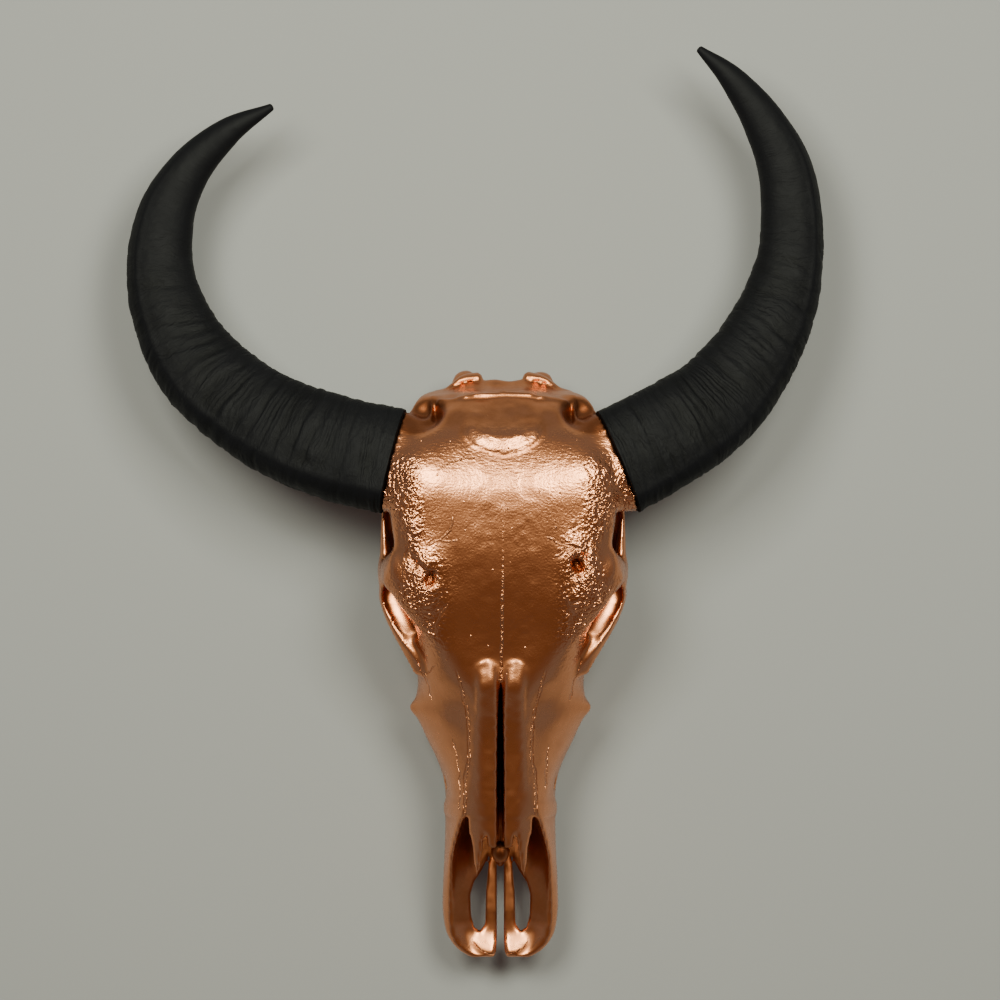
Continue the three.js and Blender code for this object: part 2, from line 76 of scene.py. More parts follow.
# One side's outline at each y, as x and z from the midline over the flank to the midline below.
BODY: Sequence[Section] = (
    (116, ((0, 113), (14, 112), (26, 105), (37, 88), (44, 68), (46, 52), (41, 38), (26, 38), (0, 41))),
    (132, ((0, 116), (14, 115.5), (27, 108), (38, 91), (44.5, 68), (46, 50), (42, 35), (28, 36), (0, 41))),
    (146, ((0, 118.5), (15.5, 118), (27, 109), (39, 92), (46.5, 68), (48, 48), (43, 29), (30, 33), (0, 40))),
    (160, ((0, 121), (16, 120.5), (27, 111.5), (41, 94), (51, 70), (53, 50), (47, 26), (33, 31), (0, 40))),
    (176, ((0, 124), (16.5, 123.5), (27, 114), (43, 96), (56, 75), (61, 54), (52, 25), (35, 30), (0, 39))),
    (194, ((0, 128.5), (17, 128.6), (29, 118.5), (49, 101), (65, 78),
           (68.5, 62), (55, 24), (38, 29), (0, 38))),
    (204, ((0, 131), (17, 131.3), (30, 121), (52, 102), (70.5, 80), (75, 66), (56, 24), (38, 29), (0, 38))),
    (213, ((0, 133.3), (18, 133.8), (32, 123.5), (54, 105), (68, 81), (70, 62), (58, 24), (39, 29), (0, 38))),
    (230, ((0, 138.3), (20, 139), (40, 131.5), (59, 112), (68.5, 84), (68, 62), (60, 24), (40, 29), (0, 38))),
    (248, ((0, 141), (24, 142.5), (46, 138), (61, 122), (74, 88), (72, 64), (60, 26), (41, 31), (0, 38))),
    (266, ((0, 146), (30, 146.3), (55, 143), (67, 131), (83, 86), (78, 64), (56, 30), (38, 36), (0, 42))),
    (282, ((0, 151), (35, 150.6), (64, 147), (78.5, 136), (90, 86), (82, 68), (50, 42), (32, 43), (0, 47))),
    (296, ((0, 155), (38, 154.2), (71, 150), (88, 138), (92, 90), (76, 71), (44, 48), (26, 45), (0, 49))),
    (310, ((0, 159), (41, 156.6), (76, 152), (97, 136), (86, 98), (62, 73), (38, 52), (24, 46), (0, 50))),
    (335, ((0, 163), (44, 160.4), (75.5, 154.3), (89, 140), (72, 106),
           (52, 76), (40, 56), (24, 50), (0, 50))),
    (362, ((0, 165.6), (44, 163.2), (76.5, 158), (91.8, 143.5), (80, 112),
           (56, 82), (44, 60), (24, 52), (0, 50))),
    (385, ((0, 166.2), (44, 164), (77, 158.5), (94, 143), (80, 112), (56, 82), (46, 60), (23, 50), (0, 48))),
    (405, ((0, 162.3), (44, 160.3), (76, 156.5), (92, 142), (78, 112),
           (58, 82), (46, 60), (22, 47), (0, 45))),
    (425, ((0, 153.9), (42, 152.3), (70, 147.2), (84, 134), (76, 106),
           (62, 84), (46, 60), (20, 46), (0, 44))),
    (440, ((0, 143.4), (38, 141.3), (63, 135), (79, 121), (77, 101), (67, 83), (46, 60), (18, 44), (0, 42))),
    (452, ((0, 134), (34, 132), (56, 125), (73, 111), (75, 95), (66, 80), (44, 57), (17, 44), (0, 42))),
    (461, ((0, 123.5), (28, 121), (50, 111), (65, 101), (69, 88), (61, 72), (42, 52), (17, 44), (0, 43))),
    (465, ((0, 119), (26, 115), (44, 100), (59, 92), (63, 84), (56, 70), (40, 53), (17, 45), (0, 44))),
    (468, ((0, 96), (23, 95), (40, 89), (52, 82), (56, 77), (50, 66), (36, 54), (16, 48), (0, 47))),
    (477, ((0, 80), (12, 79.5), (19, 78), (24, 74), (25, 70), (22, 66), (17, 61), (9, 57), (0, 56))),
)
TROUGH: Sequence[Section] = (
    (-7.8, ((0, 47.5), (9, 47.5), (15, 47.7), (20, 47.4), (24, 46), (25, 43.5), (22, 40), (12, 39), (0, 39))),
    (-2, ((0, 46.6), (12, 46.6), (22, 46.8), (29, 49.2), (33, 47.5),
          (34.5, 43), (31, 38), (16, 37), (0, 37))),
    (5, ((0, 45), (13, 45), (25, 46), (35, 51), (39, 50), (41, 44), (37, 37), (18, 36), (0, 36))),
    (15, ((0, 43.5), (14, 43.5), (27, 45.5), (39, 54), (42.5, 53), (46, 45), (42, 37), (20, 36), (0, 36))),
    (34, ((0, 45), (14, 45.5), (27, 50), (39, 57), (42.5, 58.5), (48.5, 47), (44, 37), (22, 36.5), (0, 37))),
    (58, ((0, 46), (14, 46.5), (26, 52), (38, 61), (42, 66), (48, 50), (44, 37), (24, 37), (0, 38))),
    (82, ((0, 44.5), (14, 44.8), (25, 49.5), (36, 66), (40.5, 78),
          (46.8, 54), (43, 37), (26, 37.5), (0, 39))),
    (104, ((0, 43), (14, 43), (24, 46.5), (31, 72), (35.5, 93), (46, 56), (42, 37), (27, 38), (0, 40))),
    (122, ((0, 43), (14, 43), (22, 45), (26, 76), (29.5, 104), (45.5, 60), (41, 36), (27, 37), (0, 41))),
)
ROOF: Sequence[Section] = (
    (60, ((0, 101.5), (10, 101.3), (18, 98), (24, 92), (22, 89.5), (17, 93), (10, 96), (0, 96.5))),
    (90, ((0, 107.5), (11, 107.2), (20, 102.5), (27, 95), (25, 92.5), (19, 97), (11, 101), (0, 101.5))),
    (118, ((0, 113.3), (13, 112.6), (23, 107), (31, 99), (28, 96), (22, 101), (13, 106), (0, 106.5))),
    (136, ((0, 116.3), (14, 115.8), (24, 110), (31, 101), (28, 98), (23, 103), (13, 108), (0, 109))),
)
AIRWAY: Sequence[Section] = (
    (80, ((0, 104), (14, 103), (24, 97), (30, 84), (29, 68), (24, 58), (18, 53), (10, 51), (0, 50.5))),
    (116, ((0, 107), (13, 106), (24, 99), (31, 86), (36, 70), (35, 58), (27, 52), (12, 50), (0, 49.5))),
    (150, ((0, 112), (13, 111), (23, 104), (32, 89), (38, 72), (36, 58), (28, 52), (12, 50), (0, 49))),
    (200, ((0, 121), (13, 120), (24, 113), (36, 97), (42, 80), (40, 62), (30, 53), (13, 50), (0, 49))),
    (236, ((0, 127), (12, 126), (24, 119), (34, 103), (38, 86), (34, 68), (26, 58), (12, 54), (0, 53))),
    (252, ((0, 112), (6, 111), (12, 107), (17, 97), (19, 86), (17, 76), (12, 68), (6, 66), (0, 65))),
)

# Outlines seen from above, as x and y on one side of the midline.
NASAL_OUTLINE: Sequence[Point] = (
    (0, 150), (32, 150), (32, 126), (27, 119), (26.2, 103), (23.6, 94.6), (21.9, 77.3), (19.4, 64.9),
    (17.6, 70), (12.7, 105.3), (9.5, 91), (0, 88),
)
FISSURE: Sequence[Point] = (
    (9.1, 78), (16.2, 64.3), (22.1, 55.6), (25.2, 44.9), (24.6, 27.2), (21.9, 17.4), (17.3, 13.9),
    (12.8, 20.2), (12.2, 44.9), (10.6, 67),
)
NASAL_GAP: Sequence[Point] = (
    (0, 228), (1.2, 220), (1.9, 205), (2.3, 180), (2.6, 150), (2.7, 100), (4, 88), (0, 60),
)
SNOUT_GAP: Sequence[Point] = ((0, 74), (2.9, 70), (2.9, 8), (3.6, -3), (7, -14), (0, -14))


class Side(Enum):
    """A side of the animal, with the sign of its x."""

    LEFT = 1
    RIGHT = -1


def hermite(knots: np.ndarray, values: np.ndarray, at: np.ndarray) -> np.ndarray:
    """A smooth curve through values at uneven knots.

    Each knot's slope is the rise between its two neighbours over their distance, and each span is
    the cubic that meets the values and slopes at its two ends.

    Args:
        knots: rising positions, one per value.
        values: what to pass through; the first axis follows the knots.
        at: positions to read, held to the first and last knot.

    Returns:
        The curve at each position.
    """
    slope = np.empty_like(values)
    spread = (slice(None),) + (None,) * (values.ndim - 1)
    slope[1:-1] = (values[2:] - values[:-2]) / (knots[2:] - knots[:-2])[spread]
    slope[0] = (values[1] - values[0]) / (knots[1] - knots[0])
    slope[-1] = (values[-1] - values[-2]) / (knots[-1] - knots[-2])
    at = np.clip(at, knots[0], knots[-1])
    i = np.clip(np.searchsorted(knots, at, side="right") - 1, 0, len(knots) - 2)
    h = (knots[i + 1] - knots[i])[spread]
    t = (at - knots[i])[spread] / h
    low, high = values[i], values[i + 1]
    bend = h * ((t - 2 * t**2 + t**3) * slope[i] + (t**3 - t**2) * slope[i + 1])
    return low + (3 * t**2 - 2 * t**3) * (high - low) + bend


def cubic_span(four: Sequence[np.ndarray], f: np.ndarray) -> np.ndarray:
    """The cubic between the middle two of four points, at shares f of the way.

    Its slope at each end is half the step between that end's two neighbours.
    """
    before, here, there, after = four
    first, last = 0.5 * (there - before), 0.5 * (after - here)
    bend = (2 * here - 2 * there + first + last) * f**3
    return here + first * f + (3 * there - 3 * here - 2 * first - last) * f**2 + bend


def catmull(points: np.ndarray, t: np.ndarray) -> np.ndarray:
    """A curve through evenly counted points, the one that the solids use.

    Each span is a cubic_span, and the line is mirrored past its ends.

    Args:
        points: the points to pass through.
        t: shares of the way from the first to the last, which may be outside 0 to 1.

    Returns:
        The curve's points.
    """
    padded = np.vstack([2 * points[0] - points[1], points, 2 * points[-1] - points[-2]])
    u = t * (len(points) - 1)
    i = np.clip(np.floor(u).astype(int), 0, len(points) - 2)
    return cubic_span([padded[i + k] for k in range(4)], (u - i)[:, None])


def unit(vectors: np.ndarray) -> np.ndarray:
    """Each vector over its own length."""
    return vectors / np.maximum(np.linalg.norm(vectors, axis=-1, keepdims=True), 1e-12)


def lattice_noise(points: np.ndarray, size: float, seed: int = 0) -> np.ndarray:
    """Smooth noise from about -1 to 1 at points in space.

    Every corner of a cubic lattice has a value from a whole-number hash of its place, and a point
    takes the eight values round it, mixed by the S-curve 3f^2 - 2f^3 along each axis.

    Args:
        points: places, in mm.
        size: the lattice's spacing, in mm.
        seed: picks another pattern.

    Returns:
        One value per point.
    """
    scaled = points / size + 57.3 * (seed + 1)
    base = np.floor(scaled).astype(np.int64)
    part = scaled - base
    part = part * part * (3 - 2 * part)
    total = np.zeros(points.shape[:-1])
    for corner in range(8):
        step = np.array([corner & 1, corner >> 1 & 1, corner >> 2 & 1])
        place = base + step
        code = (place * np.array(HASH_STEPS)).sum(axis=-1)
        code = (code + seed * 974711) & 0xFFFFFFFF
        code = ((code ^ code >> 13) * HASH_MIX) & 0xFFFFFFFF
        value = ((code ^ code >> 16) & 0xFFFF) / 32767.5 - 1
        total += value * np.prod(np.where(step, part, 1 - part), axis=-1)
    return total


def lean(y: np.ndarray) -> np.ndarray:
    """How far the snout is bent to the animal's right at each y, as this skull grew, in mm."""
    return -2.2 * smooth_step(330, 190, y)


def signed_power(value: np.ndarray, power: float | np.ndarray) -> np.ndarray:
    """The value's size raised to a power, with its sign kept."""
    return np.sign(value) * np.abs(value) ** power


def bump_of(r: np.ndarray) -> np.ndarray:
    """A round bump: 1 at r 0, falling as the bell curve exp(-r^2)."""
    return np.exp(-(r**2))


def smooth_step(low: float, high: float, value: np.ndarray) -> np.ndarray:
    """0 below low, 1 above high, and the S-curve between."""
    t = np.clip((value - low) / (high - low), 0, 1)
    return t * t * (3 - 2 * t)


def line_distance(places: np.ndarray, line: np.ndarray) -> tuple[np.ndarray, np.ndarray]:
    """Each place's distance to an open line, the least over its straight pieces, and its side."""
    start, run = line[:-1], line[1:] - line[:-1]
    away = places[:, None] - start
    t = np.clip((away * run).sum(axis=-1) / (run**2).sum(axis=-1), 0, 1)
    gap = np.linalg.norm(away - t[..., None] * run, axis=-1)
    nearest = gap.argmin(axis=1)
    row = np.arange(len(places))
    cross = run[nearest, 0] * away[row, nearest, 1] - run[nearest, 1] * away[row, nearest, 0]
    return gap[row, nearest], np.where(cross < 0, -1.0, 1.0)


def flat_distance(outline: np.ndarray, u: np.ndarray, v: np.ndarray) -> np.ndarray:
    """Signed distance in a plane to a closed outline, negative inside.

    The distance is the least over the outline's sides, leaving out those on the midline u = 0, where
    the other half joins on. A point is inside if a line from it along u crosses an odd number of sides.

    Args:
        outline: corner points.
        u: the first coordinate of each point.
        v: the second.

    Returns:
        One distance per point.
    """
    a, b = outline, np.roll(outline, -1, axis=0)
    kept = (np.abs(a[:, 0]) > 1e-6) | (np.abs(b[:, 0]) > 1e-6)
    start, side = a[kept], (b - a)[kept]
    du, dv = u[:, None] - start[:, 0], v[:, None] - start[:, 1]
    t = (du * side[:, 0] + dv * side[:, 1]) / np.maximum((side**2).sum(axis=1), 1e-9)
    t = np.clip(t, 0, 1)
    square = (du - t * side[:, 0]) ** 2 + (dv - t * side[:, 1]) ** 2
    rise = b[:, 1] - a[:, 1]
    spans = (a[:, 1] > v[:, None]) != (b[:, 1] > v[:, None])
    across = a[:, 0] + (v[:, None] - a[:, 1]) * (b[:, 0] - a[:, 0]) / np.where(rise == 0, 1, rise)
    inside = (spans & (u[:, None] < across)).sum(axis=1) % 2 == 1
    return np.where(inside, -1, 1) * np.sqrt(square.min(axis=1))


def rounded(outline: np.ndarray, fine: int = 4) -> np.ndarray:
    """The closed curve through an outline and its mirror image, cut back to the first half."""
    other = outline[1:-1][::-1] * np.array([-1.0, 1.0])
    loop = np.vstack([outline, other])
    count = len(loop)
    t = np.arange(0, fine * (len(outline) - 1) + 1) / fine
    i = np.floor(t).astype(int)
    curve = cubic_span([loop[(i + k) % count] for k in (-1, 0, 1, 2)], (t - i)[:, None])
    curve[[0, -1], 0] = 0
    return np.maximum(curve, [0, -1e9])


def joined(a: np.ndarray, b: np.ndarray, reach: float) -> np.ndarray:
    """Two distances as one shape with a rounded joint, the smooth minimum.

    It is min(a, b) - h^2 reach / 4, where h is 1 - |a - b| / reach, not below 0.
    """
    h = np.maximum(1 - np.abs(a - b) / reach, 0)
    return np.minimum(a, b) - h * h * reach / 4


def extruded(flat: np.ndarray, along: np.ndarray) -> np.ndarray:
    """Signed distance of an extruded shape, from the one in its plane and the one past its ends."""
    inner = np.minimum(np.maximum(flat, along), 0)
    return inner + np.hypot(np.maximum(flat, 0), np.maximum(along, 0))


class Solid(Protocol):
    """Anything with a box round it and a signed distance, negative inside."""

    def box(self) -> tuple[np.ndarray, np.ndarray]:
        """Its lowest and highest corner."""

    def distance(self, x: np.ndarray, y: np.ndarray, z: np.ndarray) -> np.ndarray:
        """Its distance at every point of the grid that the three axes span."""


@dataclass
class Loft:
    """A skin through cross-sections across y."""

    sections: Sequence[Section]

    def box(self) -> tuple[np.ndarray, np.ndarray]:
        """The sections' extremes, with 2 mm across and 1 mm above for the curves between points."""
        points = np.array([outline for _, outline in self.sections], float)
        high = points.max(axis=(0, 1))
        low = points.min(axis=(0, 1))
        return (
            np.array([0, self.sections[0][0], low[1]]),
            np.array([high[0] + 2, self.sections[-1][0], high[1] + 1]),
        )

    def distance(self, x: np.ndarray, y: np.ndarray, z: np.ndarray) -> np.ndarray:
        """Slice by slice along y: the distance to that slice's rounded outline, then to its ends.

        Args:
            x: grid positions from the midline.
            y: grid positions along the skull.
            z: heights.

        Returns:
            Distances, indexed by x, y and z.
        """
        knots = np.array([at for at, _ in self.sections], float)
        tables = np.array([outline for _, outline in self.sections], float)
        slices = hermite(knots, tables, y)
        u, v = (side.ravel() for side in np.meshgrid(x, z, indexing="ij"))
        out = np.empty((len(x), len(y), len(z)))
        for j, outline in enumerate(slices):
            out[:, j, :] = flat_distance(rounded(outline), u, v).reshape(len(x), len(z))
        ends = np.maximum(knots[0] - y, y - knots[-1])
        return extruded(out, np.broadcast_to(ends[None, :, None], out.shape))


@dataclass
class Prism:
    """An outline seen from above, between two heights."""

    outline: Sequence[Point]
    low: float
    high: float

    def box(self) -> tuple[np.ndarray, np.ndarray]:
        """The outline's extremes and the two heights."""
        flat = np.array(self.outline, float)
        return np.array([*flat.min(axis=0), self.low]), np.array([*flat.max(axis=0), self.high])

    def distance(self, x: np.ndarray, y: np.ndarray, z: np.ndarray) -> np.ndarray:
        """The distance to the outline in plan, cut at the two heights."""
        u, v = (side.ravel() for side in np.meshgrid(x, y, indexing="ij"))
        flat = flat_distance(np.array(self.outline, float), u, v).reshape(len(x), len(y), 1)
        ends = np.maximum(self.low - z, z - self.high)[None, None, :]
        shape = (len(x), len(y), len(z))
        return extruded(np.broadcast_to(flat, shape), np.broadcast_to(ends, shape))


def oval_distance(offsets: Sequence[np.ndarray], radii: Sequence[np.ndarray | float]) -> np.ndarray:
    """Nearly the distance to an ellipsoid: k(k - 1) over the length of offset / radius squared.

    Args:
        offsets: the point from the middle, along each of its axes.
        radii: its half-length along each.

    Returns:
        The distance, negative inside.
    """
    near = np.sqrt(sum((o / r) ** 2 for o, r in zip(offsets, radii)))
    steep = np.sqrt(sum((o / np.square(r)) ** 2 for o, r in zip(offsets, radii)))
    return near * (near - 1) / np.maximum(steep, 1e-4)


@dataclass
class Ellipsoid:
    """An ellipsoid turned by angles in degrees about x, y and z."""

    middle: Point
    radii: Point
    turn: Point = (0, 0, 0)

    def matrix(self) -> np.ndarray:
        """Its own axes as columns."""
        a, b, c = (math.radians(v) for v in self.turn)
        about_x = np.array([[1, 0, 0], [0, math.cos(a), -math.sin(a)], [0, math.sin(a), math.cos(a)]])
        about_y = np.array([[math.cos(b), 0, math.sin(b)], [0, 1, 0], [-math.sin(b), 0, math.cos(b)]])
        about_z = np.array([[math.cos(c), -math.sin(c), 0], [math.sin(c), math.cos(c), 0], [0, 0, 1]])
        return about_x @ about_y @ about_z

    def box(self) -> tuple[np.ndarray, np.ndarray]:
        """The smallest box round it as it is turned."""
        reach = np.sqrt(((self.matrix() * np.array(self.radii)) ** 2).sum(axis=1))
        return np.array(self.middle) - reach, np.array(self.middle) + reach

    def distance(self, x: np.ndarray, y: np.ndarray, z: np.ndarray) -> np.ndarray:
        """The distance along its own axes."""
        m = self.matrix()
        dx, dy = x[:, None, None] - self.middle[0], y[None, :, None] - self.middle[1]
        dz = z - self.middle[2]
        offsets = [dx * m[0, k] + dy * m[1, k] + dz * m[2, k] for k in range(3)]
        return oval_distance(offsets, self.radii)


@dataclass
class Bar:
    """A bar along a smooth line with an oval section, rounded at both ends.

    Its points are x, y and z, and its halves are half-width across and half-height at each.
    """

    points: Sequence[Point]
    halves: Sequence[Point]
    steps: int = 3

    def stations(self) -> tuple[np.ndarray, np.ndarray]:
        """The line and its halves, with steps to every span."""
        t = np.linspace(0, 1, (len(self.points) - 1) * self.steps + 1)
        return catmull(np.array(self.points, float), t), catmull(np.array(self.halves, float), t)

    def box(self) -> tuple[np.ndarray, np.ndarray]:
        """The line's extremes, grown by the thickest section."""
        line, halves = self.stations()
        return line.min(axis=0) - halves.max(), line.max(axis=0) + halves.max()

    def distance(self, x: np.ndarray, y: np.ndarray, z: np.ndarray) -> np.ndarray:
        """The least distance to any of its straight pieces, each an oval rod with oval ends."""
        line, halves = self.stations()
        best = None
        gx, gy = x[:, None, None], y[None, :, None]
        for a, b, ha, hb in zip(line[:-1], line[1:], halves[:-1], halves[1:]):
            ahead = unit(b - a)
            guide = np.array([0.0, -1.0, 0.0]) if abs(ahead[2]) > 0.8 else np.array([0.0, 0.0, 1.0])
            across = unit(np.cross(ahead, guide))
            up = np.cross(across, ahead)
            dx, dy, dz = gx - a[0], gy - a[1], z - a[2]
            s = dx * ahead[0] + dy * ahead[1] + dz * ahead[2]
            length = float(np.linalg.norm(b - a))
            t = np.clip(s / length, 0, 1)
            wide, high = ha[0] + (hb[0] - ha[0]) * t, ha[1] + (hb[1] - ha[1]) * t
            offsets = (
                dx * across[0] + dy * across[1] + dz * across[2],
                dx * up[0] + dy * up[1] + dz * up[2],
                s - t * length,
            )
            rod = oval_distance(offsets, (wide, high, np.minimum(wide, high)))
            best = rod if best is None else np.minimum(best, rod)
        return best


@dataclass
class HornRoot:
    """The run of bone or of empty room on a horn's axis, from its root plane backwards or forwards."""

    horn: "Horn"
    start: float
    end: float
    sizes: Sequence[Point]
    base: float = 58.0

    def box(self) -> tuple[np.ndarray, np.ndarray]:
        """A box with room for the horn's base on both sides of the root plane."""
        middle = self.horn.frame(np.zeros(1)).middle[0]
        reach = self.base + max(abs(self.start), abs(self.end))
        return middle - reach, middle + reach

    def distance(self, x: np.ndarray, y: np.ndarray, z: np.ndarray) -> np.ndarray:
        """The distance to the horn's own section, scaled along the run, and to the run's ends.

        Args:
            x: grid positions across.
            y: grid positions along the skull.
            z: heights.

        Returns:
            Distances, indexed by x, y and z.
        """
        root = self.horn.frame(np.zeros(1))
        middle, ahead, outward, up = (a[0] for a in (root.middle, root.ahead, root.outward, root.up))
        inner = np.array(self.horn.line[0]) - middle
        backward = inner / abs(float(inner @ ahead))
        dx, dy, dz = x[:, None, None] - middle[0], y[None, :, None] - middle[1], z - middle[2]
        s = dx * ahead[0] + dy * ahead[1] + dz * ahead[2]
        back = np.where(s < 0, -s, 0)
        dx, dy, dz = dx - back * backward[0], dy - back * backward[1], dz - back * backward[2]
        u = dx * outward[0] + dy * outward[1] + dz * outward[2]
        v = dx * up[0] + dy * up[1] + dz * up[2]
        knots, scale = np.array(self.sizes, float).T
        size = np.interp(s, knots, scale)
        flat = self.horn.section_level(u / size, v / size) * size
        return np.maximum(flat, np.maximum(self.start - s, s - self.end))


@dataclass
class Volume:
    """A distance field on a grid, in which solids are joined and cut."""

    low: np.ndarray
    high: np.ndarray
    cell: np.ndarray
    values: np.ndarray = field(init=False)

    def __post_init__(self) -> None:
        """Starts empty: far from everything."""
        counts = np.ceil((self.high - self.low) / self.cell).astype(int) + 1
        self.values = np.full(counts, FAR)

    def axis(self, k: int) -> np.ndarray:
        """The grid's positions along one axis."""
        return self.low[k] + self.cell[k] * np.arange(self.values.shape[k])

    def blend(self, solid: Solid, round_off: float, cut: bool = False, common: bool = False) -> None:
        """Joins a solid on, cuts it away, or keeps only what it shares, with a rounded joint.

        A cut is a joint with the empty side: the field is turned inside out, joined and turned back.

        Args:
            solid: what to join or cut.
            round_off: how far from the joint the rounding reaches, in mm.
            cut: cuts it away.
            common: keeps only the shared part.
        """
        low, high = solid.box()
        margin = round_off + 3 * self.cell.max()
        spans = []
        for k in range(3):
            first, last = 0, self.values.shape[k]
            if not common:
                first = int((low[k] - margin - self.low[k]) / self.cell[k])
                last = int((high[k] + margin - self.low[k]) / self.cell[k]) + 2
            spans.append(slice(max(first, 0), max(min(last, self.values.shape[k]), 0)))
        region = tuple(spans)
        here = self.values[region]
        if here.size == 0:
            return
        there = solid.distance(*(self.axis(k)[spans[k]] for k in range(3)))
        a, b = (-here, there) if cut else (here, there)
        if common:
            a, b = -here, -there
        mixed = joined(a, b, round_off)
        self.values[region] = -mixed if cut or common else mixed

    def mirrored(self) -> "Volume":
        """The whole field, from a half whose first layer is the midline."""
        left = -(self.values.shape[0] - 1) * self.cell[0]
        whole = Volume(np.array([left, self.low[1], self.low[2]]), self.high, self.cell)
        whole.values = np.concatenate([self.values[:0:-1], self.values], axis=0)
        return whole

    def surface(self) -> tuple[np.ndarray, np.ndarray]:
        """The skin where the field is zero, as one point per crossed cell and one quad per crossed edge.

        Each grid edge whose ends differ in sign has a crossing at the share a / (a - b) of its length.
        A cell's point is the mean of the crossings on its edges, and each crossed edge joins the
        points of its four cells.

        Returns:
            Points in mm, and quads as rows of four numbers.
        """
        f = self.values
        shape = np.array(f.shape)
        stride = np.array([shape[1] * shape[2], shape[2], 1])
        flat = f.ravel()
        owners, places, quads = [], [], []
        for k in range(3):
            edge = [slice(None)] * 3
            edge[k] = slice(0, -1)
            other = [slice(None)] * 3
            other[k] = slice(1, None)
            crossed = np.argwhere((f[tuple(edge)] < 0) != (f[tuple(other)] < 0))
            i, j = (k + 1) % 3, (k + 2) % 3
            inner = (crossed[:, i] > 0) & (crossed[:, j] > 0)
            crossed = crossed[inner & (crossed[:, i] < shape[i] - 1) & (crossed[:, j] < shape[j] - 1)]
            start = crossed @ stride
            a, b = flat[start], flat[start + stride[k]]
            place = crossed.astype(float)
            place[:, k] += a / (a - b)
            around = ((1, 1), (0, 1), (0, 0), (1, 0))
            cells = np.stack([start - di * stride[i] - dj * stride[j] for di, dj in around], 1)
            owners.append(cells.ravel())
            places.append(np.repeat(place, 4, axis=0))
            quads.append(np.where((a < 0)[:, None], cells, cells[:, ::-1]))
        owner = np.concatenate(owners)
        used, index = np.unique(owner, return_inverse=True)
        place = np.concatenate(places)
        count = np.bincount(index)
        points = np.stack([np.bincount(index, place[:, k]) / count for k in range(3)], 1)
        faces = np.searchsorted(used, np.concatenate(quads))
        return points * self.cell + self.low, faces


def face_normals(points: np.ndarray, quads: np.ndarray) -> np.ndarray:
    """Each quad's normal times twice its area, as the cross product of its diagonals."""
    a, b, c, d = (points[quads[:, k]] for k in range(4))
    return np.cross(c - a, d - b)


def point_normals(points: np.ndarray, quads: np.ndarray) -> np.ndarray:
    """Each point's normal, as the sum over its quads."""
    faces = face_normals(points, quads)
    index = quads.ravel()
    spread = np.repeat(faces, 4, axis=0)
    total = np.stack([np.bincount(index, spread[:, k], len(points)) for k in range(3)], 1)
    return unit(total)


def neighbour_mean(values: np.ndarray, quads: np.ndarray) -> np.ndarray:
    """The mean of each point's neighbours along the quads' sides, one column at a time."""
    a = quads.ravel()
    b = np.roll(quads, -1, axis=1).ravel()
    ends, starts = np.concatenate([a, b]), np.concatenate([b, a])
    count = np.maximum(np.bincount(ends, minlength=len(values)), 1)
    columns = [np.bincount(ends, values[starts, k], len(values)) / count for k in range(values.shape[1])]
    return np.stack(columns, 1)


def relaxed(points: np.ndarray, quads: np.ndarray, rounds: int) -> np.ndarray:
    """Smooths without shrinking: each round moves 0.5 of the way to the neighbours' mean and 0.52 back."""
    for _ in range(rounds):
        points = points + 0.5 * (neighbour_mean(points, quads) - points)
        points = points - 0.52 * (neighbour_mean(points, quads) - points)
    return points


def grid_quads(rows: int, columns: int) -> np.ndarray:
    """The quads of a grid of points whose rows close on themselves."""
    r, c = np.meshgrid(np.arange(rows - 1), np.arange(columns), indexing="ij")
    n = (c + 1) % columns
    corners = [r * columns + c, r * columns + n, (r + 1) * columns + n, (r + 1) * columns + c]
    return np.stack(corners, -1).reshape(-1, 4)


def make_piece(
    name: str,
    points: np.ndarray,
    quads: np.ndarray,
    material: bpy.types.Material,
    marks: dict[str, np.ndarray] | None = None,
    ends: Sequence[Sequence[int]] = (),
) -> bpy.types.Object:
    """Puts points and faces into a smooth-shaded object in the row's frame.

    Args:
        name: the piece's name.
        points: places in mm from the skull's midline and snout.
        quads: rows of four point numbers.
        material: its finish.
        marks: attributes to keep at each point, by name.
        ends: extra faces, such as end caps.

    Returns:
        The new object.
    """
    mesh = bpy.data.meshes.new(name)
    corners = np.concatenate([quads.ravel(), *(np.array(end) for end in ends)])
    sizes = np.concatenate([np.full(len(quads), 4), [len(end) for end in ends]]).astype(np.int32)
    mesh.vertices.add(len(points))
    mesh.vertices.foreach_set("co", ((points + SHIFT) * METRE).astype(np.float32).ravel())
    mesh.loops.add(len(corners))
    mesh.loops.foreach_set("vertex_index", corners.astype(np.int32))
    mesh.polygons.add(len(sizes))
    starts = np.concatenate([[0], np.cumsum(sizes)[:-1]]).astype(np.int32)
    mesh.polygons.foreach_set("loop_start", starts)
    mesh.polygons.foreach_set("loop_total", sizes)
    mesh.update(calc_edges=True)
    mesh.validate()
    mesh.polygons.foreach_set("use_smooth", np.ones(len(mesh.polygons), dtype=bool))
    for label, values in (marks or {}).items():
        mesh.attributes.new(label, "FLOAT", "POINT").data.foreach_set("value", values.astype(np.float32))
    mesh.materials.append(material)
    piece = bpy.data.objects.new(name, mesh)
    bpy.context.scene.collection.objects.link(piece)
    return piece


def linear(code: str) -> tuple[float, float, float, float]:
    """An sRGB hex colour as linear red, green, blue and full alpha."""
    parts = [int(code[k : k + 2], 16) / 255 for k in (1, 3, 5)]
    return (*(p / 12.92 if p <= 0.04045 else ((p + 0.055) / 1.055) ** 2.4 for p in parts), 1.0)


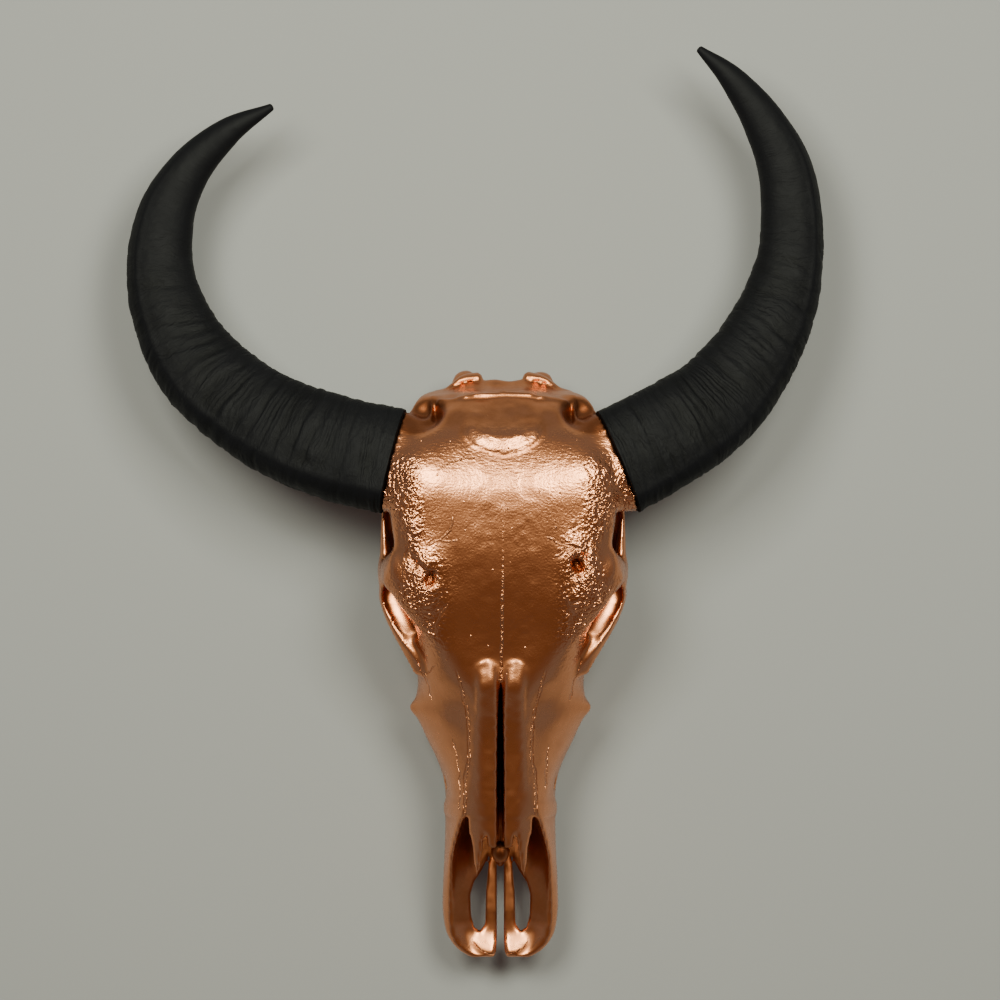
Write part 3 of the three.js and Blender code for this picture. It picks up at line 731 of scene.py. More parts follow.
def add_node(tree: Tree, kind: str, inputs: dict | None = None, **settings: object) -> bpy.types.Node:
    """Adds a node with its settings, and sets or links its inputs.

    Args:
        tree: the material's or world's tree.
        kind: the node's type.
        inputs: by name or number, a socket to link from or a plain value.
        settings: properties of the node.

    Returns:
        The node.
    """
    made = tree.nodes.new(kind)
    for key, value in settings.items():
        setattr(made, key, value)
    for key, value in (inputs or {}).items():
        if isinstance(value, bpy.types.NodeSocket):
            tree.links.new(value, made.inputs[key])
        else:
            made.inputs[key].default_value = value
    return made


def math_node(tree: Tree, operation: str, *values: object) -> bpy.types.NodeSocket:
    """A Math node's output, for one to three values or sockets."""
    return add_node(tree, "ShaderNodeMath", dict(enumerate(values)), operation=operation).outputs[0]


def noise(tree: Tree, place: object, size: float, detail: float = 2.0, rough: float = 0.5) -> object:
    """A noise pattern whose grains are about size mm apart, as a socket from 0 to 1."""
    inputs = {"Vector": place, "Scale": 1 / size, "Detail": detail, "Roughness": rough}
    return add_node(tree, "ShaderNodeTexNoise", inputs).outputs[0]


def ramp(tree: Tree, value: object, low: float, high: float, first: float = 0, last: float = 1) -> object:
    """Value carried from low-high to first-last and held there, as a socket."""
    inputs = {"Value": value, 1: low, 2: high, 3: first, 4: last}
    return add_node(tree, "ShaderNodeMapRange", inputs, interpolation_type="SMOOTHSTEP").outputs[0]


def straight(tree: Tree, value: object, low: float, high: float, first: float, last: float) -> object:
    """Value carried from low-high to first-last in a straight line and held there, as a socket."""
    inputs = {"Value": value, 1: low, 2: high, 3: first, 4: last}
    return add_node(tree, "ShaderNodeMapRange", inputs).outputs[0]


def mix_colour(tree: Tree, share: object, first: object, last: object) -> object:
    """A colour share of the way from first to last, each a socket or linear values."""
    return add_node(tree, "ShaderNodeMix", {0: share, 6: first, 7: last}, data_type="RGBA").outputs[2]


def start_material(name: str) -> tuple[bpy.types.Material, Tree, bpy.types.NodeSocket]:
    """A new material with an empty tree and the skull's own millimetre coordinates."""
    material = bpy.data.materials.new(name)
    material.use_nodes = True
    tree = material.node_tree
    tree.nodes.clear()
    source = add_node(tree, "ShaderNodeTexCoord").outputs["Object"]
    move = {"Vector": source, "Location": tuple(-SHIFT), "Scale": (1000, 1000, 1000)}
    place = add_node(tree, "ShaderNodeMapping", move, vector_type="POINT").outputs[0]
    return material, tree, place


def mark(tree: Tree, label: str, output: str = "Fac") -> bpy.types.NodeSocket:
    """One of the mesh's marks, as a socket."""
    return add_node(tree, "ShaderNodeAttribute", attribute_name=label).outputs[output]


def bumped(tree: Tree, heights: Sequence[object]) -> bpy.types.NodeSocket:
    """The normal that a sum of heights in mm gives."""
    height = {"Height": sum_of(tree, heights), "Distance": METRE, "Strength": 1.0}
    return add_node(tree, "ShaderNodeBump", height).outputs[0]


def end_material(tree: Tree, settings: dict) -> None:
    """Ends a material's tree with its shader and output."""
    shader = add_node(tree, "ShaderNodeBsdfPrincipled", settings)
    add_node(tree, "ShaderNodeOutputMaterial", {"Surface": shader.outputs[0]})


def sum_of(tree: Tree, parts: Sequence[object]) -> object:
    """The sum of sockets."""
    total = parts[0]
    for part in parts[1:]:
        total = math_node(tree, "ADD", total, part)
    return total


def product(tree: Tree, *parts: object) -> object:
    """The product of sockets and numbers."""
    total = parts[0]
    for part in parts[1:]:
        total = math_node(tree, "MULTIPLY", total, part)
    return total


def curve_through(tree: Tree, value: object, points: Sequence[Point]) -> object:
    """A Float Curve through points, held past its ends.

    Args:
        tree: the material's tree.
        value: where to read it.
        points: places that it passes through, with the first coordinate rising.

    Returns:
        The curve's value, in the points' own unit.
    """
    table = np.array(points, float)
    low, high = table.min(axis=0), table.max(axis=0)
    made = add_node(tree, "ShaderNodeFloatCurve", {"Value": straight(tree, value, low[0], high[0], 0, 1)})
    curve = made.mapping.curves[0]
    for k, place in enumerate((table - low) / (high - low)):
        if k < 2:
            curve.points[k].location = place
        else:
            curve.points.new(*place)
    made.mapping.update()
    return straight(tree, made.outputs[0], 0, 1, low[1], high[1])


def line_at(tree: Tree, away: object, half: float) -> object:
    """A thin line where a distance in mm is 0, fading out at half mm, as a socket from 0 to 1."""
    return ramp(tree, math_node(tree, "ABSOLUTE", away), half * 0.2, half, 1, 0)


@dataclass(frozen=True)
class CopperCoat:
    """Copper-pigment lacquer sprayed on dry bone.

    Metal flakes in a clear binder: metallic, with a soft-edged highlight. Painted shade darkens the colour in
    hollows, creases and recesses, which are also made duller. The bone's pores and wrinkles show through it.
    """

    copper: str = "#DB9165"
    # shaded: a darker copper, shown by random mottle and by painted shade; inside: a near-black brown painted
    # as deep shade in the nose, pits and pockets
    shaded: str = "#B06B41"
    inside: str = "#5C2A1A"
    roughness: float = 0.285
    pore_mm: float = 1.75
    pore_depth: float = 0.2
    wrinkle_mm: float = 2.9
    wrinkle_depth: float = 1.9

    def seams(self, tree: Tree, place: object) -> list[object]:
        """The beaded joints between the bones, as heights in mm.

        The middle one runs up the forehead and the side ones along the nose, each a line at a curve
        that noise breaks into beads. Veins stand up and cracks go in where the mesh marks them.

        Args:
            tree: the material's tree.
            place: the skull's own coordinates in mm.

        Returns:
            One height per joint.
        """
        x, y, z = add_node(tree, "ShaderNodeSeparateXYZ", {0: place}).outputs
        wander = straight(tree, noise(tree, place, 8, 3), 0.25, 0.75, -1.1, 1.1)
        beads = ramp(tree, noise(tree, place, 3.0, 2), 0.38, 0.58)
        sway = straight(tree, y, 190, 330, -2.2, 0)
        middle_line = math_node(tree, "SUBTRACT", math_node(tree, "ADD", x, product(tree, wander, 0.5)), sway)
        wide = math_node(tree, "ABSOLUTE", math_node(tree, "SUBTRACT", x, sway))
        top = ramp(tree, z, 92, 100)
        fading = ((225, 1), (262, 1), (290, 0.85), (320, 0.35), (345, 0.15), (385, 0.06), (410, 0))
        middle = product(
            tree,
            line_at(tree, middle_line, 1.5),
            straight(tree, beads, 0, 1, 0.25, 1),
            ramp(tree, y, 224, 230),
            curve_through(tree, y, fading),
            top,
        )
        beside = ((108, 30.5), (124, 29.6), (150, 29.2), (165, 26.2), (188, 26.4), (217, 31.4), (240, 37))
        edge = curve_through(tree, y, beside)
        away = math_node(tree, "ADD", math_node(tree, "SUBTRACT", wide, edge), product(tree, wander, 0.6))
        reach = product(tree, ramp(tree, y, 112, 122), ramp(tree, y, 226, 240, 1, 0), top)
        groove = product(tree, line_at(tree, away, 1.3), reach, -0.8)
        bead = product(tree, line_at(tree, math_node(tree, "ADD", away, 0.8), 1.0), beads, reach, 1.3)
        out = [product(tree, middle, 1.1), groove, bead]
        for label, half, height in (("vein", 1.1, 0.4), ("crack", 0.8, -1.1)):
            side = math_node(tree, "ADD", mark(tree, label), product(tree, wander, 1.2))
            out.append(product(tree, line_at(tree, side, half), mark(tree, label + "_reach"), height))
        return out

    def pores(self, tree: Tree, place: object, grain: object) -> list[object]:
        """The orange-peeled coat on the forehead, as heights in mm.

        Round pores, a finer grit, crackle stretched across behind the brow, and a few specks that
        were caught under the coat.

        Args:
            tree: the material's tree.
            place: the skull's own coordinates in mm.
            grain: where the coat is rough, from 0 to 1.

        Returns:
            One height per pattern.
        """
        y = add_node(tree, "ShaderNodeSeparateXYZ", {0: place}).outputs[1]
        round_ones = noise(tree, place, self.pore_mm, 1.4, 0.5)
        grit = noise(tree, place, 1.1, 2)
        squeeze = {0: place, 1: (0.42, 1.0, 1.0)}
        squeezed = add_node(tree, "ShaderNodeVectorMath", squeeze, operation="MULTIPLY").outputs[0]
        crackle = noise(tree, squeezed, 1.9, 1.5)
        band = product(tree, ramp(tree, y, 372, 402), ramp(tree, y, 446, 432, 0, 1), grain)
        spots = add_node(tree, "ShaderNodeTexVoronoi", {"Vector": place, "Scale": 1 / 13}).outputs[0]
        return [
            product(tree, round_ones, grain, self.pore_depth),
            product(tree, grit, 0.035),
            product(tree, crackle, band, 0.3),
            product(tree, ramp(tree, spots, 0.02, 0.085, 1, 0), grain, 0.55),
        ]

    def wrinkles(self, tree: Tree, place: object, crumble: object) -> list[object]:
        """Crumbled bone under the coat, as heights in mm: lumps, and creases at |n - 1/2| of noise n."""
        settings = {"Vector": place, "Scale": 1 / self.wrinkle_mm}
        settings |= {"Detail": 1.3, "Roughness": 0.5, "Distortion": 0.5}
        lumps = add_node(tree, "ShaderNodeTexNoise", settings).outputs[0]
        wide = noise(tree, place, 2.6 * self.wrinkle_mm, 2)
        fold = ramp(tree, math_node(tree, "ABSOLUTE", math_node(tree, "SUBTRACT", wide, 0.5)), 0, 0.09)
        return [product(tree, lumps, crumble, self.wrinkle_depth), product(tree, fold, crumble, 0.4)]

    def material(self, name: str = "copper_lacquer_on_bone") -> bpy.types.Material:
        """The bone's finish, which reads the mesh's marks crumble, grain, vein and crack, and the mark of
        painted shade in its hollows.

        Args:
            name: the material's name.

        Returns:
            The material.
        """
        material, tree, place = start_material(name)
        crumble, painted_shade, grain = (mark(tree, label) for label in ("crumble", "painted_shade", "grain"))
        heights = self.seams(tree, place) + self.pores(tree, place, grain)
        heights += self.wrinkles(tree, place, crumble)
        mottle = noise(tree, place, 15, 4, 0.6)
        # Painted shade: random mottle plus the shade mark darken the copper towards the shaded colour, and
        # the deepest shade turns it to the near-black inside colour
        mottle_and_shade = math_node(tree, "MULTIPLY_ADD", mottle, 0.6, product(tree, painted_shade, 0.6))
        worn = mix_colour(tree, ramp(tree, mottle_and_shade, 0.2, 0.9), linear(self.copper), linear(self.shaded))
        base = mix_colour(tree, ramp(tree, painted_shade, 0.5, 1.0), worn, linear(self.inside))
        shares = ((mottle, 0.12), (painted_shade, 0.16), (crumble, -0.12))
        dull = sum_of(tree, [product(tree, value, share) for value, share in shares])
        rough = math_node(tree, "ADD", dull, self.roughness - 0.07)
        settings = {"Base Color": base, "Metallic": 1.0, "Roughness": rough, "Normal": bumped(tree, heights)}
        end_material(tree, settings)
        return material


@dataclass(frozen=True)
class BlackHorn:
    """Buffalo horn under a matte black coat.

    Keratin grows in rings and fine wrinkles across the horn. The coat dulls it to a near black, and a faint
    sheen on the crests is painted into the colour as a lighter black, so the rings read as soft grey lines.
    """

    black: str = "#050506"
    # crest: a painted sheen, a lighter black that the rings' crests show
    crest: str = "#0C0C0F"
    roughness: float = 0.62
    ior: float = 1.25
    wrinkle_mm: float = 1.9
    wrinkle_depth: float = 0.8

    def material(self, name: str = "matte_black_horn") -> bpy.types.Material:
        """The horns' finish, which reads the marks along, girth and crest of the mesh.

        Args:
            name: the material's name.

        Returns:
            The material.
        """
        material, tree, place = start_material(name)
        along, crest, girth = mark(tree, "along"), mark(tree, "crest"), mark(tree, "girth", "Vector")
        bend = straight(tree, noise(tree, place, 19, 2), 0, 1, -7, 7)
        length = math_node(tree, "ADD", along, bend)
        fade = curve_through(tree, along, ((0, 1), (150, 0.9), (300, 0.5), (420, 0.15), (520, 0.1)))
        across = self.stretched(tree, girth, length, 0.075)
        wrinkles = noise(tree, across, self.wrinkle_mm, 3, 0.6)
        lengthwise = self.stretched(tree, girth, product(tree, along, 0.06), 1.0)
        fibres = noise(tree, lengthwise, 1.3, 2)
        flakes = noise(tree, place, 5, 4, 0.62)
        heights = [
            product(tree, wrinkles, fade, self.wrinkle_depth),
            product(tree, fibres, 0.05),
            product(tree, flakes, math_node(tree, "ADD", fade, 0.15), 0.4),
            product(tree, noise(tree, place, 0.8, 2), 0.05),
        ]
        scuffs = noise(tree, place, 23, 4)
        # Painted sheen: the crest mark lightens the black towards the crest colour on the rings' crests; the
        # scuffs vary it at random
        share = math_node(tree, "MULTIPLY_ADD", scuffs, 0.5, product(tree, crest, 0.6))
        base = mix_colour(tree, ramp(tree, share, 0.25, 0.95), linear(self.black), linear(self.crest))
        rough = math_node(tree, "ADD", product(tree, scuffs, 0.2), self.roughness - 0.1)
        settings = {"Base Color": base, "Roughness": rough, "Normal": bumped(tree, heights), "IOR": self.ior}
        end_material(tree, settings)
        return material

    def stretched(self, tree: Tree, girth: object, length: object, share: float) -> object:
        """A place on the unrolled horn: share of the way round it, and the length along it."""
        around = add_node(tree, "ShaderNodeVectorMath", {0: girth, 3: share}, operation="SCALE").outputs[0]
        run = add_node(tree, "ShaderNodeCombineXYZ", {2: length}).outputs[0]
        return add_node(tree, "ShaderNodeVectorMath", {0: around, 1: run}, operation="ADD").outputs[0]


@dataclass
class HornFrame:
    """A horn's middle line and directions at several shares of its length."""

    middle: np.ndarray
    ahead: np.ndarray
    outward: np.ndarray
    up: np.ndarray
    wide: np.ndarray
    thick: np.ndarray


@dataclass
class Horn:
    """A horn sheath swept along a curve.

    Its line starts inside the skull, and its widths and thicknesses start at the root. The side
    towards the forehead is flatter than the back, and growth rings cross its first two thirds.
    Lengths are in mm, ringed_to and the ring's rise and fall are shares, and root_scales are the
    sizes of the rows that close the root.
    """

    node: str
    line: Sequence[Point]
    wide: Sequence[float]
    thick: Sequence[float]
    twist: float
    seed: int
    rings: int = 640
    sides: int = 116
    ring_spacing: float = 10.5
    ring_depth: float = 0.85
    ring_rise: float = 0.68
    ring_fall: float = 0.32
    fine_spacing: float = 3.3
    ringed_to: float = 0.64
    edge_degrees: float = 47.0
    flatness: float = 0.34
    root_scales: Point = (0.02, 0.86, 0.955)
    root_bevel: float = 0.9
    tip_length: float = 1.95
    crest_depth: float = 1.9
    girth_radius: float = 33.0

    def frame(self, t: np.ndarray) -> HornFrame:
        """The line, its directions and the section's half-sizes at shares t from root to tip."""
        points = np.array(self.line, float)
        start = 1 / (len(points) - 1)
        at = start + (1 - start) * t
        near = 5e-5
        ahead = unit(catmull(points, at + near) - catmull(points, at - near))
        outward = unit(np.cross(ahead, [0.0, 0.0, 1.0]))
        sizes = catmull(np.stack([self.wide, self.thick], 1).astype(float), t)
        up = np.cross(outward, ahead)
        return HornFrame(catmull(points, at), ahead, outward, up, sizes[:, 0], sizes[:, 1])

    def turned(self, t: np.ndarray) -> np.ndarray:
        """How far the section is turned about the line, in radians."""
        return np.radians(self.twist) * (1 - t) * np.sign(self.line[0][0])

    def section_level(self, u: np.ndarray, v: np.ndarray) -> np.ndarray:
        """Nearly the distance to the root's section, whose half towards +v is flattened.

        It is (|u/w|^p + |v/h|^q)^(1/2) - 1, times the half-thickness, with larger powers on the
        flattened half.
        """
        angle = float(self.turned(np.zeros(1))[0])
        a = u * math.cos(angle) + v * math.sin(angle)
        b = -u * math.sin(angle) + v * math.cos(angle)
        flat = self.flatness
        wide = np.abs(a / self.wide[0]) ** (2 / (1 - 0.3 * flat))
        front = np.abs(b / (self.thick[0] * (1 - 0.2 * flat))) ** (2 / (1 - flat))
        behind = np.abs(b / self.thick[0]) ** 2
        return (np.sqrt(wide + np.where(b > 0, front, behind)) - 1) * self.thick[0]

    def relief(self, t: np.ndarray, angle: np.ndarray, smooth: np.ndarray) -> np.ndarray:
        """How far the surface stands off the plain sweep, in mm.

        Rings are a rounded saw wave of the length along the horn, bent by noise so that they
        wander, fork and fade, with finer rings between them near the root.

        Args:
            t: share of the length.
            angle: angle round the section.
            smooth: the plain sweep's points, for the noise.

        Returns:
            One height per point.
        """
        length = self.length()
        s = length * t
        bend = 5.0 * lattice_noise(smooth, 46, self.seed) + 2.2 * lattice_noise(smooth, 15, self.seed + 1)
        slant = 4.5 * np.cos(angle + 0.7) + bend
        spacing = self.ring_spacing * (1 + 0.25 * t)
        phase = (s + slant) / spacing
        wave = phase - np.floor(phase)
        saw = np.where(wave < self.ring_rise, wave / self.ring_rise, (1 - wave) / self.ring_fall)
        saw = saw * saw * (3 - 2 * saw)
        round_place = np.stack([np.floor(phase) * 3.1, np.cos(angle) * 1.3, np.sin(angle) * 1.3], -1)
        uneven = 0.5 + 0.5 * lattice_noise(round_place, 1.0, self.seed)
        fade = smooth_step(self.ringed_to + 0.06, self.ringed_to - 0.22, t)
        rings = -self.ring_depth * (1 - saw) * uneven * fade
        run = (s + 0.9 * slant) / self.fine_spacing
        fine_place = np.stack([run, np.cos(angle) * 0.8, np.sin(angle) * 0.8], -1)
        fine = -1.0 * np.abs(lattice_noise(fine_place, 1.0, self.seed + 2)) * smooth_step(0.66, 0.25, t)
        lumps = 0.7 * lattice_noise(smooth, 17, self.seed + 3) * smooth_step(0.8, 0.35, t)
        deep = np.maximum(lattice_noise(smooth, 24, self.seed + 5) - 0.3, 0)
        dents = -1.1 * deep * smooth_step(0.75, 0.2, t)
        edge = math.radians(self.edge_degrees)
        snoutward = angle if self.line[0][0] > 0 else np.pi - angle
        away = np.abs(np.angle(np.exp(1j * (snoutward - edge))))
        below = np.abs(np.angle(np.exp(1j * (snoutward - edge + 0.5))))
        bevel = (0.9 * bump_of(away / 0.13) - 1.1 * bump_of(below / 0.28)) * smooth_step(0.85, 0.55, t)
        grain = 0.12 * lattice_noise(smooth, 5.0, self.seed + 4)
        return rings + fine + lumps + dents + bevel + grain * smooth_step(1.0, 0.9, t)

    def length(self) -> float:
        """The middle line's length from root to tip."""
        points = self.frame(np.linspace(0, 1, 400)).middle
        return float(np.linalg.norm(np.diff(points, axis=0), axis=1).sum())

    def build(self, material: bpy.types.Material) -> bpy.types.Object:
        """Sweeps the section, lays the rings on it and closes both ends.

        A point is the middle + outward * w * cos'(a) + up * h * sin'(a), where cos' and sin' are
        raised to powers that flatten the front half.

        Args:
            material: the horn's finish.

        Returns:
            The sheath.
        """
        first = len(self.root_scales)
        t = np.concatenate([np.zeros(first), np.linspace(0, 1, self.rings)])
        f = self.frame(t)
        angle = np.linspace(0, 2 * np.pi, self.sides, endpoint=False)
        c, s = np.cos(angle)[None, :], np.sin(angle)[None, :]
        flat = self.flatness * (1 - t)[:, None]
        across = f.wide[:, None] * signed_power(c, 1 - 0.3 * flat)
        front = (1 - 0.2 * flat) * np.abs(s) ** (1 - flat)
        high = f.thick[:, None] * np.where(s > 0, front, s)
        turn = self.turned(t)[:, None]
        u = across * np.cos(turn) - high * np.sin(turn)
        v = across * np.sin(turn) + high * np.cos(turn)
        offset = u[..., None] * f.outward[:, None] + v[..., None] * f.up[:, None]
        smooth = f.middle[:, None] + offset
        spread = np.broadcast_to(t[:, None], u.shape)
        turns = np.broadcast_to(angle[None, :], u.shape)
        most = 0.018 * f.wide[:, None] + 0.2
        height = np.minimum(self.relief(spread, turns, smooth), most)
        tip = smooth_step(0.999, 0.93, t)[:, None]
        points = smooth + unit(offset) * (height * (0.15 + 0.85 * tip))[..., None]
        for k, size in enumerate(self.root_scales):
            points[k] = f.middle[k] + (points[first] - f.middle[k]) * size
        points[first] += f.ahead[first] * self.root_bevel
        closing = np.linspace(0, 1, 9)[1:, None, None]
        end = f.middle[-1] + (points[-1] - f.middle[-1]) * np.sqrt(1 - closing**2)
        end = end + f.ahead[-1] * (self.tip_length * closing)
        points = np.concatenate([points, end[:-1]])
        rows = len(points)
        quads = grid_quads(rows, self.sides)[:, ::-1]
        last = (rows - 1) * self.sides
        caps = (list(range(self.sides)), list(range(last, last + self.sides))[::-1])
        padding = (rows - len(t), self.sides)
        crest = np.concatenate([height, np.zeros(padding)]).ravel()
        along = np.concatenate([spread * self.length(), np.full(padding, self.length())]).ravel()
        piece = make_piece(
            self.node + "_sheath",
            points.reshape(-1, 3),
            quads,
            material,
            {"along": along, "crest": np.clip(1 + crest / self.crest_depth, 0, 1)},
            caps,
        )
        girth = np.stack([np.cos(angle), np.sin(angle)], 1) * self.girth_radius
        round_place = np.tile(np.concatenate([girth, np.zeros((self.sides, 1))], 1), (rows, 1))
        layer = piece.data.attributes.new("girth", "FLOAT_VECTOR", "POINT")
        layer.data.foreach_set("vector", round_place.astype(np.float32).ravel())
        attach(piece, "root")
        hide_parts(self.node)
        return piece


@dataclass
class CheekTooth:
    """An upper cheek tooth in its socket: a tall crown with folded sides and a worn face.

    Sizes are in mm, except that pinch and flute are shares of the outline's size, and turn is in
    degrees.
    """

    name: str
    middle: Point
    length: float
    width: float
    turn: float
    lobes: int
    short: float
    crown: float = 22.0
    root: float = 7.0
    squareness: float = 0.6
    pinch: float = 0.06
    flute: float = 0.018
    cup_depth: float = 1.5
    socket_depth: float = 14.0
    gap: float = 0.3
    sides: int = 96
    wall_rows: int = 16
    face_rows: int = 26

    def outline(self, grow: float = 0.0) -> np.ndarray:
        """The crown's outline about its own middle: a rounded block, pinched between its lobes.

        Across is w * cos'(a) * pinch and along is l * sin'(a), where cos' and sin' are raised to the
        power squareness.
        """
        a = np.linspace(0, 2 * np.pi, self.sides, endpoint=False)
        c, s = np.cos(a), np.sin(a)
        along = signed_power(s, self.squareness)
        pinch = 1 - self.pinch * (1 + np.cos(np.pi * self.lobes * (along + 1))) * (self.lobes > 1)
        across = signed_power(c, self.squareness) * pinch
        return np.stack([(self.width / 2 + grow) * across, (self.length / 2 + grow) * along], 1)

    def placed(self, flat: np.ndarray, side: Side) -> np.ndarray:
        """Outline points turned with the tooth row and moved to their place, as x and y."""
        turn = math.radians(-self.turn * side.value)
        x = flat[..., 0] * math.cos(turn) - flat[..., 1] * math.sin(turn)
        y = flat[..., 0] * math.sin(turn) + flat[..., 1] * math.cos(turn)
        return np.stack([x + self.middle[0] * side.value, y + self.middle[1]], -1)

    def socket(self) -> Prism:
        """The hole that takes the tooth, on the left side."""
        flat = self.placed(self.outline(self.gap)[::4], Side.LEFT)
        top = self.crown + self.root + self.gap
        return Prism([tuple(p) for p in flat], self.crown - self.socket_depth, top)

    def worn_face(self, flat: np.ndarray, share: np.ndarray) -> np.ndarray:
        """The worn face's height above its lowest plane, in mm.

        Enamel stands up as a rim at the outline and as a crescent ring round the middle of each
        lobe, each a narrow bell curve, and the softer tooth between is hollowed.
        """
        lobe = self.length / self.lobes
        within = (flat[..., 1] + self.length / 2) / lobe
        centre = (np.clip(np.floor(within), 0, self.lobes - 1) + 0.5) * lobe - self.length / 2
        ring = np.hypot(flat[..., 0] / (self.width * 0.27), (flat[..., 1] - centre) / (lobe * 0.3))
        enamel = np.maximum(bump_of((share - 0.93) / 0.05), bump_of((ring - 1) / 0.2))
        return self.cup_depth * (1 - enamel) * smooth_step(1.01, 0.9, share) + 0.02

    def build(self, side: Side, material: bpy.types.Material) -> bpy.types.Object:
        """Makes the tooth from its root's top, down its sides and in across the worn face.

        Args:
            side: which side of the jaw.
            material: its finish.

        Returns:
            The tooth.
        """
        outline = self.outline()
        top = self.crown + self.root
        wall = np.linspace(top - 1.2, self.short + 0.9, self.wall_rows)
        heights = np.concatenate([[top, top], wall, [self.short + 0.2]])
        scale = np.concatenate([[0.02, 0.93], np.full(self.wall_rows, 0.995), [0.975]])
        inward = np.linspace(0.95, 0.02, self.face_rows)
        down = len(heights)
        flat = outline[None] * np.concatenate([scale, inward])[:, None, None]
        angle = np.arange(self.sides) * (2 * np.pi / self.sides)
        flute = 1 - self.flute * (0.5 + 0.5 * np.cos(angle * (4 + 4 * self.lobes)))
        flat[1 : down - 1] *= flute[None, :, None]
        share = np.broadcast_to(inward[:, None], (self.face_rows, self.sides))
        face = self.short + self.worn_face(flat[down:], share)
        z = np.concatenate([np.broadcast_to(heights[:, None], (down, self.sides)), face])
        points = np.concatenate([self.placed(flat, side), z[..., None]], -1)
        points[..., 0] += lean(points[..., 1])
        uneven = 0.12 * lattice_noise(points[2 : down - 1], 4.0, len(self.name))
        points[2 : down - 1, :, :2] += uneven[..., None]
        rows = len(points)
        quads = grid_quads(rows, self.sides)
        last = (rows - 1) * self.sides
        caps = (list(range(self.sides))[::-1], list(range(last, last + self.sides)))
        crumble = np.full(rows * self.sides, 0.05)
        # Painted shade: the tooth's sides are a little darker, and its worn face darker the deeper it is
        # cupped
        painted_shade = np.concatenate([np.full((down, self.sides), 0.25), 0.35 + 0.3 * (face - self.short)]).ravel()
        unlined = np.zeros_like(crumble)
        marks = {"crumble": crumble, "painted_shade": painted_shade, "grain": crumble + 0.1}
        marks |= {"vein_reach": unlined, "crack_reach": unlined}
        word = "left" if side is Side.LEFT else "right"
        piece = make_piece(
            f"{self.name}_{word}_tooth",
            points.reshape(-1, 3),
            quads[:, ::-1] if faces_inward(points, quads) else quads,
            material,
            marks,
            caps,
        )
        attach(piece, "root")
        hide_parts(f"{self.name}_{word}")
        return piece


def faces_inward(points: np.ndarray, quads: np.ndarray) -> bool:
    """Whether a closed grid's quads face inwards, from the sign of the volume that they enclose."""
    flat = points.reshape(-1, 3)
    middle = flat.mean(axis=0)
    centres = flat[quads].mean(axis=1) - middle
    return float((centres * face_normals(flat, quads)).sum()) < 0


